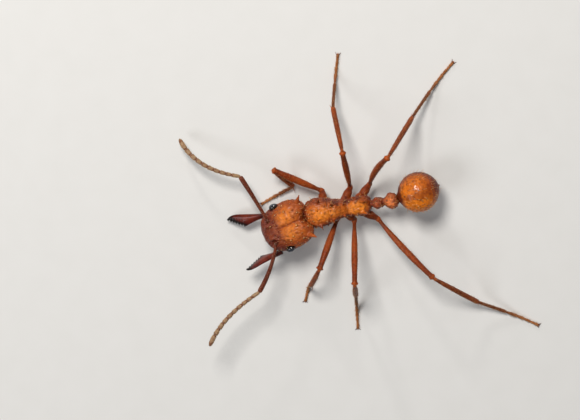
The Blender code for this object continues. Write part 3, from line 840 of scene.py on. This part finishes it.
def make_mandible(side):
    points, faces = mandible_blade()
    opening, blade_roll = MANDIBLE_TURNS[side]
    place = (HEAD @ Matrix.Translation(mirrored(MANDIBLE_AT, side)) @ turn(side * opening, "Z")
             @ turn(side * blade_roll, "Y") @ Matrix.Diagonal((side, 1, 1, 1)))
    x, y, _ = points.T
    edge = -0.40 * (1 - np.clip((-y / MANDIBLE_LENGTH - HEEL) / (1 - HEEL), 0, 1))
    dark = ramp(edge - x, -0.26, -0.06) * ramp(-y, 0.45, 0.70) + ramp(-y, 0.95, 1.42)
    dark += 0.5 * ramp(y, 0.0, 0.3)
    skin = Skin.placed(points, outward(moved(points, place), faces), place,
                       ochre=0.8 * hump(x + 0.02, 0.16) * hump(y + 0.45, 0.4), dark=dark)
    word = SIDE_NAMES[side]
    piece(f"mandible_{word}_blade", skin, "mandible", [f"mandible_{word}"])


MOUTH_PADS = (((0, -1.06, -0.05), (0.30, 0.10, 0.07)), ((0, -1.02, -0.30), (0.20, 0.16, 0.12)))
PALPS = (((0.24, -0.98, -0.30), 4, 0.62), ((0.10, -1.02, -0.36), 2, 0.36))  # root, joints, length


def make_mouthparts():
    """Upper lip, tongue pad and jointed palps below and between the jaws."""
    skins = []
    # Painted shade: the pads and the palps under the front of the head are darkened.
    for at, size in MOUTH_PADS:
        skins.append(Skin.placed(*ball(lambda p: p * np.array(size) + np.array(at), 32, 24), HEAD, dark=0.70))
    for side, (start, joints, length) in itertools.product((LEFT, RIGHT), PALPS):
        line = [mirrored(start, side)]
        for i in range(joints):
            bend = math.radians(20 + 28 * i)
            way = mirrored((0.25, -math.cos(bend), -math.sin(bend)), side).normalized()
            line.append(line[-1] + way * length / joints)
        profile = [(i / (2 * joints), 0.026 if i % 2 else 0.016) for i in range(2 * joints)] + [(1, 0.008)]
        palp = sweep([HEAD @ p for p in line], profile, (1, 0.2, 0.1), 40, 10)
        skins.append(Skin(*palp, ochre=0.2, dark=0.45))
    piece("mouthparts", Skin.joined(skins), "head")


# ---------------- feelers

SCAPE = ((0, 0.05), (0.015, 0.085), (0.035, 0.090), (0.055, 0.055), (0.085, 0.057), (0.14, 0.074),
         (0.45, 0.088), (0.80, 0.106), (0.95, 0.112), (0.985, 0.095), (1, 0.048))
SCAPE_BOWS = {LEFT: (0.0, 0.14, 0.03), RIGHT: (0.0, 0.03, 0.04)}
FUNICULUS_SEGMENTS = (1.15, 0.80, 0.82, 0.85, 0.88, 0.90, 0.92, 0.95, 1.00, 1.75)  # relative lengths


def along_limb(start, end, bow=(0, 0, 0)):
    """Line of a limb bowed a little to one side."""
    start, end, bow = Vector(start), Vector(end), Vector(bow)
    return [start.lerp(end, t) + bow * (4 * t * (1 - t)) for t in (i / 8 for i in range(9))]


def funiculus_profile(edges):
    """Segments narrow at their roots, the last one ending in a blunt point."""
    rows, last = [], len(edges) - 2
    for i, (a, b) in enumerate(zip(edges, edges[1:])):
        wide = 0.086 + 0.020 * i / last
        shape = ((0.0, 0.62), (0.12, 0.82), (0.45, 0.95), (0.84, 1.0), (0.96, 0.84))
        if i == last:
            shape = ((0.0, 0.62), (0.10, 0.84), (0.40, 1.0), (0.75, 0.86), (0.93, 0.5))
        rows += [(a + (b - a) * t, wide * part) for t, part in shape]
    return [(0.0, 0.040), *rows[1:], (1, 0.012)]


def make_feeler(side):
    word = SIDE_NAMES[side]
    root, elbow, line = feeler_joints(side)
    shell = sweep(along_limb(root, elbow, SCAPE_BOWS[side]), SCAPE, (0, 0, 1), 90, 20)
    share = shell[2][:, 1] / SCAPE_LENGTH
    scape = Skin(*shell, ochre=0.5 * ramp(share, 0.85, 1.0) + 0.3 * hump(share - 0.3, 0.3),
                 dark=0.6 * hump(share - 0.06, 0.03) + 0.15 * hump(share - 0.5, 0.2))
    piece(f"scape_{word}_shaft", scape, "scape", [f"scape_{word}"])

    edges = np.concatenate([[0], np.cumsum(FUNICULUS_SEGMENTS)]) / sum(FUNICULUS_SEGMENTS)
    shell = sweep(line, funiculus_profile(edges), (0, 0, 1), 260, 20)
    share = shell[2][:, 1] / FUNICULUS_LENGTH
    near_joint = np.abs(share[:, None] - edges[1:-1]).min(1)
    skin = Skin(*shell, ochre=0.8 * ramp(near_joint, 0.012, 0.030),
                dark=hump(near_joint, 0.014) + ramp(share, 0.90, 0.97))
    piece(f"funiculus_{word}_segments", skin, "funiculus", [f"funiculus_{word}"])

    scape_hair, hair = Hair(0.065, 0.0042, 24, 0.3, 3), Hair(0.060, 0.0045, 28, 0.3, 3)
    tufts = [grown(roots_on(scape, 420), scape_hair, (0, SCAPE_LENGTH), (0, 2)),
             grown(roots_on(skin, 3200), hair, (0, FUNICULUS_LENGTH), (1, 2))]
    coat(f"feeler_{word}_setae", tufts, "feeler_setae", "funiculus_cuticle")


# ---------------- trunk, waist and gaster

def trunk_rings(y, sides=120):
    """Rings of the trunk, with its sutures, pleural grooves and the ridge along each side."""
    half, top, bottom = smooth(TRUNK_STATIONS, y).T[:, :, None]
    a = 2 * np.pi * np.arange(sides) / sides
    across, rise = np.cos(a), np.sin(a)
    power = np.where(rise > 0, 0.9, 0.75)
    x = half * spow(across, power)
    middle = (top + bottom) / 2
    z = middle + (top - middle) * spow(rise, power)
    y = np.repeat(y[:, None], sides, 1)
    rounded = 1 - 0.05 * hump(y - PROMESONOTAL_SUTURE + 0.05 * np.cos(2 * a), 0.035) * (rise > -0.4)
    rounded -= 0.06 * hump(y - METANOTAL_GROOVE, 0.080) * (rise > -0.2)
    rounded -= 0.04 * hump(y + 1.62, 0.04)
    grooves = 0.06 * hump(y + 0.40 - 0.8 * (z + 0.1), 0.035) + 0.06 * hump(y - 0.42 + 0.5 * (z + 0.1), 0.030)
    grooves += 0.05 * hump(z + 0.22 - 0.06 * np.sin(3 * y), 0.030)
    rounded -= ramp(np.abs(across), 0.6, 0.9) * grooves
    rounded += (0.035 * hump(np.abs(across) - 0.74, 0.10) - 0.030 * hump(across, 0.12)) * (rise > 0)
    return np.stack([x * rounded * INSET, y * INSET, middle + (z - middle) * rounded * INSET], -1)


TRUNK_BUMPS = (0.19, 56, (0.5, 1.25, 1), 0.044, 0.050, 0.055)
TRUNK_HAIRS = ((0, Hair(0.17, 0.010, 60, 0.7, 5), None),
               (60, Hair(0.14, 0.007, 55, 0.5, 4), (2, 0.3, -0.3, 0.2)),
               (1200, Hair(0.050, 0.0035, 20, 0.4, 3), (2, 0.3, -0.3, 0.2)))


def make_trunk():
    first, last = TRUNK_STATIONS[0][0], TRUNK_STATIONS[-1][0]
    points, faces = loft(trunk_rings(np.linspace(first, last, 190)))
    upper = (points[:, 2] > -0.25) & (np.abs(points[:, 0]) > 0.10) & (points[:, 1] < 1.15)
    places, crests, bulk, lumps = raised(points, faces, upper, *TRUNK_BUMPS)
    shells = [(points, faces), *spine_pairs(TRUNK_SPINES, 0.98, (0.085, 0.0), 0.10, (0.0, 0.12, 0.05))]
    for pair, side in LEGS:
        root = mirrored(LEG_PAIRS[pair][1], side)
        shells.append(lump(root * 0.9, root, 0.20, 0.20, 24, 16))
    # Neck in front, spiracles on the flanks.
    shells.append(lump((0, -1.72, -0.13), (0, -1, 0), 0.20, 0.22, 24, 16))
    shells += [lump(mirrored((0.40, 0.72, -0.02), side), mirrored((1, 0, 0.2), side), 0.045, 0.03)
               for side in (LEFT, RIGHT)]
    points, faces = melted(shells + lumps)
    x, y, z = points.T
    relief = 0.016 * noise(points * np.array((1, 0.5, 1)), 0.065, 5) + 0.020 * noise(points, 0.13, 6)
    points = points + normals_of(points, faces) * relief[:, None]
    out, back = np.abs(x), ramp(z, 0.02, 0.30)
    share = out / smooth(TRUNK_STATIONS, np.clip(y, -1.7, 1.3))[:, 0]
    ochre = back * (hump(x, 0.38) * hump(y + 1.05, 0.48) + 0.65 * hump(x, 0.23) * hump(y + 0.30, 0.40))
    ochre += ramp(z, -0.05, 0.16) * 1.7 * hump(x, 0.25) * hump(y - 0.70, 0.40)
    dark = 0.45 * hump(y - PROMESONOTAL_SUTURE, 0.030) * ramp(out, 0.05, 0.3)
    # Painted shade: the neck under the head and the rear end at the petiole are darkened.
    dark += 0.30 * hump(y - METANOTAL_GROOVE, 0.05) + 0.9 * ramp(-y, 1.55, 1.70) + 0.5 * ramp(y, 1.15, 1.3)
    # Painted shade: the first term darkens the underside of the trunk.
    dark += 0.30 * ramp(-z, 0.05, 0.45) + 0.70 * ramp(share, 0.48, 0.88) * ramp(z, -0.40, 0.0)
    dark += 0.8 * hump(gaps(points, places), 0.050) + 0.40 * noise(points, 0.15, 15) * ramp(share, 0.35, 0.7)
    # The pale mark paints glints on the crests of the larger bumps.
    skin = Skin.placed(points, faces, BODY, ochre=ochre, dark=dark + 0.18 * noise(points, 0.25, 7),
                       pale=0.8 * hump(gaps(points, crests[bulk > 0.8]), 0.024))
    piece("trunk_skin", skin, "trunk", ["pronotum", "mesonotum", "propodeum"])
    body_coat("trunk", skin, (first, last), places, TRUNK_HAIRS)


KNOB_NECK = 0.60  # width of a knob's neck against its middle
# Place, size, width of the rear's lump, how ochre it is, and its left teeth as the trunk's spines are.
KNOBS = {
    "petiole": (PETIOLE_AT, (0.48, 0.64, 0.56), 0.22, 0.10,
                (((0.11, 0.10, 0.22), (0.4, 0.3, 1.0), 0.13), ((0.19, -0.02, 0.04), (1.0, 0.1, 0.6), 0.07))),
    "postpetiole": (POSTPETIOLE_AT, (0.72, 0.66, 0.66), 0.31, 1.40,
                    (((0.15, -0.04, 0.28), (0.5, -0.1, 1.0), 0.09),
                     ((0.31, 0.04, 0.06), (1.0, 0.1, 0.7), 0.11),
                     ((0.18, 0.18, 0.22), (0.5, 0.4, 1.0), 0.09))),
}


def make_waist():
    """Petiole and postpetiole: two knobs, each with a neck in front and small teeth on top."""
    tufts = []
    for band, (name, (at, size, rear, yellow, teeth)) in enumerate(KNOBS.items()):
        middle, half = row(at), np.array(size) / 2 * INSET

        def shape(p):
            neck = KNOB_NECK + (1 - KNOB_NECK) * ramp(p[:, 1], -0.80, -0.05)
            full = (neck * np.sqrt(1 + p[:, 1]**2))[:, None]
            return middle + p * half * np.concatenate([full, np.ones_like(full), full], 1)

        bare, faces = ball(shape, 90, 70)
        upper = (bare[:, 2] > at.z) & (np.abs(bare[:, 1] - at.y) < 0.22) & (bare[:, 0] > at.x + 0.03)
        warts = bare[sites_on(bare - np.array((at.x, 0, 0)), upper, 0.11, 16)]
        points, faces = melted([(bare, faces), *spine_pairs(teeth, 1.0, (0.045, 0.0), 0.05, at=at),
                                lump(at + Vector((0, -0.26, -0.02)), (0, -1, 0), 0.18, 0.20),
                                lump(at + Vector((0, 0.20, 0.0)), (0, 1, 0), rear, 0.21),
                                *(lump(p, p - middle, 0.036, 0.040) for p in warts)], VOXEL * 0.8)
        relief = 0.034 * noise(points, 0.13, 8) + 0.020 * noise(points, 0.065, 12)
        points = points + normals_of(points, faces) * relief[:, None]
        x, y, z = (points - middle).T
        # Painted shade: each knob's neck in front, its rear joint and its underside are darkened.
        dark = 0.45 * ramp(-y, 0.14, 0.30) + 0.4 * ramp(y, 0.20, 0.30) + 0.35 * ramp(-z, 0, 0.2)
        dark += 0.7 * hump(gaps(points, warts), 0.050) + 0.45 * noise(points, 0.12, 13)
        # The pale mark paints glints on the warts.
        skin = Skin.placed(points, faces, BODY, dark=dark, pale=0.5 * hump(gaps(points, warts * 1.02), 0.02),
                           ochre=yellow * hump(x, 0.27) * hump(y - 0.02, 0.24) * ramp(z, -0.05, 0.15))
        piece(name + "_skin", skin, "waist", [name])
        for count, hair, denser in ((26, Hair(0.15, 0.009, 65, 0.5, 5), (2, 0.0, at.z - 0.1, at.z + 0.1)),
                                    (220, Hair(0.05, 0.0038, 25, 0.4, 3), None)):
            tufts.append(grown(roots_on(skin, count, denser), hair, (at.y - 0.4, at.y + 0.4), (band, 2)))
    coat("waist_setae", tufts, "body_setae", "waist_cuticle")


TERGITE_EDGES = (0.70, 0.81, 0.89, 0.95)  # rear edges of the plates, in half lengths


def gaster_surface(p):
    """Nearly round, with overlapping plates behind and a seam between back and belly plates."""
    x, y, z = p.T
    swell = np.full(len(p), INSET)
    for edge in TERGITE_EDGES:
        swell += 0.018 * ramp(y, edge - 0.10, edge) * (y < edge) - 0.010 * (y >= edge)
    seam = z + 0.42 + 0.10 * y
    swell -= 0.022 * hump(seam, 0.030) * (y < 0.9)
    swell += 0.012 * ramp(seam, 0.0, 0.03) * ramp(-seam, -0.15, 0.0)
    swell *= 1 - 0.10 * np.abs(y) ** 3
    return np.stack([x * swell, y * INSET, z * swell * np.where(z > 0, 1.0, 0.94)], -1) * row(GASTER_SIZE) / 2


GASTER_BUMPS = (0.16, 70, (0.25, 1.0, 1.5), 0.040, 0.036, 0.045)
GASTER_HAIRS = ((0, Hair(0.18, 0.010, 52, 0.8, 5), None),
                (80, Hair(0.16, 0.008, 45, 0.5, 4), (1, 0.2, 0.2, 0.9)),
                (1500, Hair(0.055, 0.0035, 16, 0.4, 3), None))


def make_gaster():
    points, faces = ball(gaster_surface, 220, 170)
    x, y, z = points.T
    upper = (z > -0.15) & (y < 0.42) & (y > -0.72) & (np.abs(x) > 0.09)
    places, crests, bulk, lumps = raised(points, faces, upper, *GASTER_BUMPS)
    shells = [(points, faces), lump((0.0, -0.84, -0.06), (0, -1, 0), 0.30, 0.17, 24, 16),
              lump((0, 0.93, -0.05), (0, 1, 0), 0.06, 0.07)]
    points, faces = melted(shells + lumps)
    x, y, z = points.T
    relief = 0.008 * noise(points, 0.10, 9) + 0.004 * noise(points, 0.045, 10)
    points = points + normals_of(points, faces) * relief[:, None]
    stripe = hump(x + 0.03 * y, 0.10 + 0.26 * ramp(y, -0.7, 0.5)) * ramp(z, 0.0, 0.3)
    # The ochre mark here is partly painted light: besides the amber front, the left flank is painted brighter
    # and the right flank dimmer, standing in for how the light falls.
    ochre = 1.1 * ramp(-y, -0.92, -0.20) * ramp(z + 0.45 * np.maximum(x, 0), -0.08, 0.52)
    ochre *= 1 - 0.58 * stripe
    ochre *= 1 + 0.5 * ramp(x, 0.15, 0.55) - 0.45 * ramp(-x, -0.05, 0.40)
    dark = 0.9 * hump(gaps(points, places[bulk < 0.6]), 0.034) + 0.34 * stripe * ramp(y, -0.95, -0.5)
    dark += 0.20 * ramp(y, 0.40, 0.95) + 0.24 * noise(points, 0.10, 16) * ramp(z, -0.1, 0.3)
    # Painted shade: the right flank below its top, and the underside, are darkened.
    dark += 0.85 * ramp(-z, -0.66, 0.08) * ramp(-x, -0.60, 0.30) + 0.3 * ramp(-z, -0.1, 0.4)
    # Painted shade: the first term darkens the front end, where the gaster meets the postpetiole.
    dark += 0.85 * ramp(-y, 0.62, 0.86) + 0.16 * noise(points, 0.22, 11)
    for edge in TERGITE_EDGES:
        dark += 0.3 * hump(y - edge * GASTER_SIZE.y / 2 * INSET, 0.018)
    # The pale mark paints glints on the crests of the bumps.
    skin = Skin.placed(points, faces, GASTER, ochre=ochre, dark=dark,
                       pale=0.9 * hump(gaps(points, crests[bulk > 0.5]), 0.024))
    piece("gaster_skin", skin, "gaster", ["gaster"])
    body_coat("gaster", skin, (-GASTER_SIZE.y / 2, GASTER_SIZE.y / 2), places, GASTER_HAIRS)


# ---------------- legs

FEMUR = ((0, 0.04), (0.02, 0.088), (0.06, 0.082), (0.14, 0.098), (0.36, 0.134), (0.60, 0.143),
         (0.84, 0.116), (0.93, 0.112), (0.975, 0.110), (1, 0.05))
TIBIA = ((0, 0.045), (0.02, 0.082), (0.05, 0.072), (0.09, 0.082), (0.30, 0.106), (0.65, 0.116),
         (0.93, 0.114), (0.98, 0.095), (1, 0.04))
COXA = ((0, 0.13), (0.12, 0.19), (0.45, 0.195), (0.80, 0.145), (0.95, 0.122), (1, 0.06))
TROCHANTER = ((0, 0.05), (0.18, 0.115), (0.50, 0.122), (0.85, 0.098), (1, 0.05))
FEMUR_BOWS = {("hind", LEFT): Vector((0.035, -0.05, 0.03)), ("hind", RIGHT): Vector((-0.06, -0.10, -0.01))}
CLAW = [(share, 0.022 * part) for share, part in ((0, 1), (0.3, 0.85), (0.7, 0.5), (1, 0.12))]
CLAW_LENGTH = 0.20
SOLE, CLAW_TIP = 0.062, 0.012  # heights of the foot's middle and the claws' tips


def knee_knobs(share, angle):
    """Paired condyles at the far end of the femur, on the hinge."""
    return 0.050 * np.abs(np.cos(angle)) ** 6 * hump(share - 0.972, 0.020)


def tarsus_profile():
    """Tarsomeres narrow at their roots, each a little slimmer than the one before."""
    rows, start = [], 0.0
    for i, (share, _) in enumerate(TARSOMERES):
        wide, root = 0.072 - 0.004 * i, 0.80 if i == 0 else 0.55
        shape = ((0, root), (0.12, (root + 1) / 2), (0.55, 0.92), (0.92, 1.0))
        rows += [(start + share * t, r * wide) for t, r in shape]
        start += share
    return rows + [(1, 0.02)]


def make_tarsus(word, hinge, toes, length):
    """The slender foot lies in the lower part of its solid, so that pads and claws reach the floor."""
    run = np.cumsum([0] + [share for share, _ in TARSOMERES])
    line = [Vector((p.x, p.y, p.z - (FOOT_CENTRE - SOLE) * min(1.0, t * 1.25))) for p, t in zip(toes, run)]
    shell = sweep(line, tarsus_profile(), hinge, 150, 18)
    share = shell[2][:, 1] / length
    skin = Skin(*shell, ochre=ramp(share, 0.46, 0.75), dark=0.75 * ramp(-share, -0.48, -0.30))
    parts, tip, up = [skin], line[-1], Vector((0, 0, 1))
    forward = (tip - line[-2]).normalized()
    out = forward.cross(up).normalized()
    bend = Vector((0, 0, CLAW_TIP - SOLE)) / CLAW_LENGTH - up * 0.25 - forward * 0.15
    for lean in (1, -1):
        claw = thorn(tip - forward * 0.03 + out * 0.018 * lean, forward * 0.9 + out * 0.55 * lean + up * 0.25,
                     CLAW_LENGTH, CLAW, bend)
        parts.append(Skin(*claw, dark=0.7))
    points, faces = lump(tip + forward * 0.03 - up * 0.015, forward, 0.035, 0.06)
    parts.append(Skin(points, faces, points, np.tile(tuple(forward), (len(points), 1)), ochre=0.8))
    piece(word + "_tarsus_skin", Skin.joined(parts), "tarsus", [word + "_tarsus"])
    return skin


def make_leg(pair, side):
    word = f"leg_{pair}_{SIDE_NAMES[side]}"
    (femur_length, tibia_length, tarsus_length), coxa_root = LEG_PAIRS[pair]
    hip, knee, ankle, toes = leg_joints(pair, side)
    thigh, shin = (knee - hip).normalized(), (ankle - knee).normalized()
    hinge = thigh.cross(shin).normalized()

    def part_piece(part, skin):
        piece(f"{word}_{part}_skin", skin, "leg", [f"{word}_{part}"])

    coxa = sweep([BODY @ mirrored(coxa_root, side), hip], COXA, hinge, 50, 28)
    trochanter = sweep([hip - thigh * 0.10, hip + thigh * 0.20], TROCHANTER, hinge, 30, 24)
    coxa = Skin.joined([Skin(*coxa, ochre=0.35 * hump(coxa[2][:, 1] - 0.2, 0.2), dark=0.25),
                        Skin(*trochanter, ochre=0.6, dark=0.1)])
    part_piece("coxa", coxa)

    bow = FEMUR_BOWS.get((pair, side)) or Vector((0, 0, 0.05)) * femur_length / 3
    stout = 1.08 if pair == "front" else 1.0
    profile = [(share, radius * stout) for share, radius in FEMUR]
    femur = sweep(along_limb(hip + thigh * 0.12, knee, bow), profile, hinge, 110, 26, 1.12, knee_knobs)
    share = femur[2][:, 1] / femur_length
    femur = Skin(*femur, ochre=0.95 * ramp(share, 0.90, 0.97) + 0.45 * hump(share - 0.40, 0.25),
                 dark=0.35 * hump(share - 0.08, 0.06) + 0.30 * hump(share - 0.86, 0.06))
    part_piece("femur", femur)

    tibia = sweep(along_limb(knee, ankle, -hinge.cross(shin) * 0.03), TIBIA, hinge, 90, 24)
    share = tibia[2][:, 1] / tibia_length
    tibia = Skin(*tibia, ochre=0.25 + 0.6 * ramp(-share, -0.07, -0.02) + 0.35 * ramp(share, 0.90, 0.98),
                 dark=0.45 * hump(share - 0.10, 0.05) + 0.30 * hump(share - 0.55, 0.30))
    # The foreleg has one long spur, the others two short ones.
    spur, leans = (0.34, (1,)) if pair == "front" else (0.20, (1, -1))
    spurs = [thorn(ankle - shin * 0.06 + hinge * 0.05 * lean, shin + hinge * 0.35 * lean, spur, CLAW,
                   shin.cross(hinge) * 0.2) for lean in leans]
    part_piece("tibia", Skin.joined([tibia, *(Skin(*shell, ochre=0.8) for shell in spurs)]))

    tarsus = make_tarsus(word, hinge, toes, tarsus_length)
    coated = ((coxa, 0.6, 80), (femur, femur_length, int(230 * femur_length)),
              (tibia, tibia_length, int(300 * tibia_length)),
              (tarsus, tarsus_length, int(420 * tarsus_length)))
    tufts = []
    for band, (part, length, count) in enumerate(coated):
        fine = Hair(0.080 if part is tarsus else 0.070, 0.0045, 28, 0.4, 3)
        for number, hair in ((count, fine), (count // 10, Hair(0.12, 0.006, 48, 0.5, 4))):
            tufts.append(grown(roots_on(part, number), hair, (0, length), (band, 4)))
    coat(word + "_setae", tufts, "limb_setae", "tarsus_cuticle")


# ---------------- studio

VIEW_AZIMUTH, VIEW_ELEVATION = -99.3, 70.0  # the camera stands over the ant's right side, upside down
VIEW_WIDTH, LENS, SENSOR = 26.1, 500.0, 36.0
AIM = (-2.34, 0.045)  # middle of the picture from the middle of the trunk: to the right, down
# Way to each light in parts back to the camera, up and right; its distance, size, power and colour.
LIGHTS = {"key": ((1.0, 0.30, -0.18), 160, 45, 0.215, (1.0, 0.97, 0.93)),
          "fill": ((0.7, -0.45, -0.7), 180, 90, 0.08, (0.95, 0.97, 1.0)),
          "glint": ((1.0, 1.1, -0.4), 160, 16, 0.035, (1.0, 0.98, 0.95))}
SKY_COLOUR, SKY_STRENGTH = (0.95, 0.97, 1.0, 1.0), 0.15
FLOOR_HALF = 400.0


def make_camera():
    back = heading(VIEW_AZIMUTH, VIEW_ELEVATION)
    right = -sideways(LEFT, VIEW_AZIMUTH, 0)
    up = back.cross(right)
    centre = Vector((0, 0, TRUNK_HEIGHT)) - FOOTPRINT_CENTRE + right * AIM[0] - up * AIM[1]
    camera = bpy.data.cameras.new("camera")
    camera.lens, camera.sensor_width = LENS, SENSOR
    camera.clip_start, camera.clip_end = 1 * MM, 10.0
    obj = new_object("camera", camera)
    turned = Matrix((right, up, back)).transposed().to_4x4()
    obj.matrix_world = Matrix.Translation((centre + back * VIEW_WIDTH * LENS / SENSOR) * MM) @ turned
    bpy.context.scene.camera = obj
    return centre, right, up, back


def make_light(name, aim, way, distance, size, power, colour):
    light = bpy.data.lights.new(name, "AREA")
    light.shape, light.size, light.energy, light.color = "DISK", size * MM, power, colour
    obj = new_object(name, light)
    way = way.normalized()
    obj.location = (aim + way * distance) * MM
    obj.rotation_mode = "QUATERNION"
    obj.rotation_quaternion = way.to_track_quat("Z", "Y")
    obj.visible_camera = False


def make_floor():
    n = Nodes("pale_floor")
    place = n.add("TexCoord").outputs["Object"]
    grain = n.add("TexNoise", {"Vector": place, "Scale": 900.0, "Detail": 4.0}).outputs["Fac"]
    colour = n.mix(grain, (0.755, 0.745, 0.72), (0.78, 0.77, 0.75))
    material = n.finish(colour, n.span(grain, 0.3, 0.7, 0.60, 0.75), grain, 0.002, 0.3)
    grid, mesh = bmesh.new(), bpy.data.meshes.new("floor")
    bmesh.ops.create_grid(grid, x_segments=8, y_segments=8, size=FLOOR_HALF * MM)
    grid.to_mesh(mesh)
    grid.free()
    mesh.materials.append(material)
    floor = new_object("floor", mesh)


def make_studio():
    centre, right, up, back = make_camera()
    for name, ((b, u, r), *lamp) in LIGHTS.items():
        make_light(name, centre, back * b + up * u + right * r, *lamp)
    world = bpy.data.worlds.new("studio")
    world.use_nodes = True
    sky = world.node_tree.nodes["Background"]
    sky.inputs["Color"].default_value = SKY_COLOUR
    sky.inputs["Strength"].default_value = SKY_STRENGTH
    bpy.context.scene.world = world
    bpy.context.scene.view_settings.view_transform = "Standard"
    make_floor()


def make_ant():
    make_head()
    for side in (LEFT, RIGHT):
        make_eye(side)
        make_mandible(side)
        make_feeler(side)
    make_mouthparts()
    make_trunk()
    make_waist()
    make_gaster()
    for pair, side in LEGS:
        make_leg(pair, side)


make_ant()
make_studio()
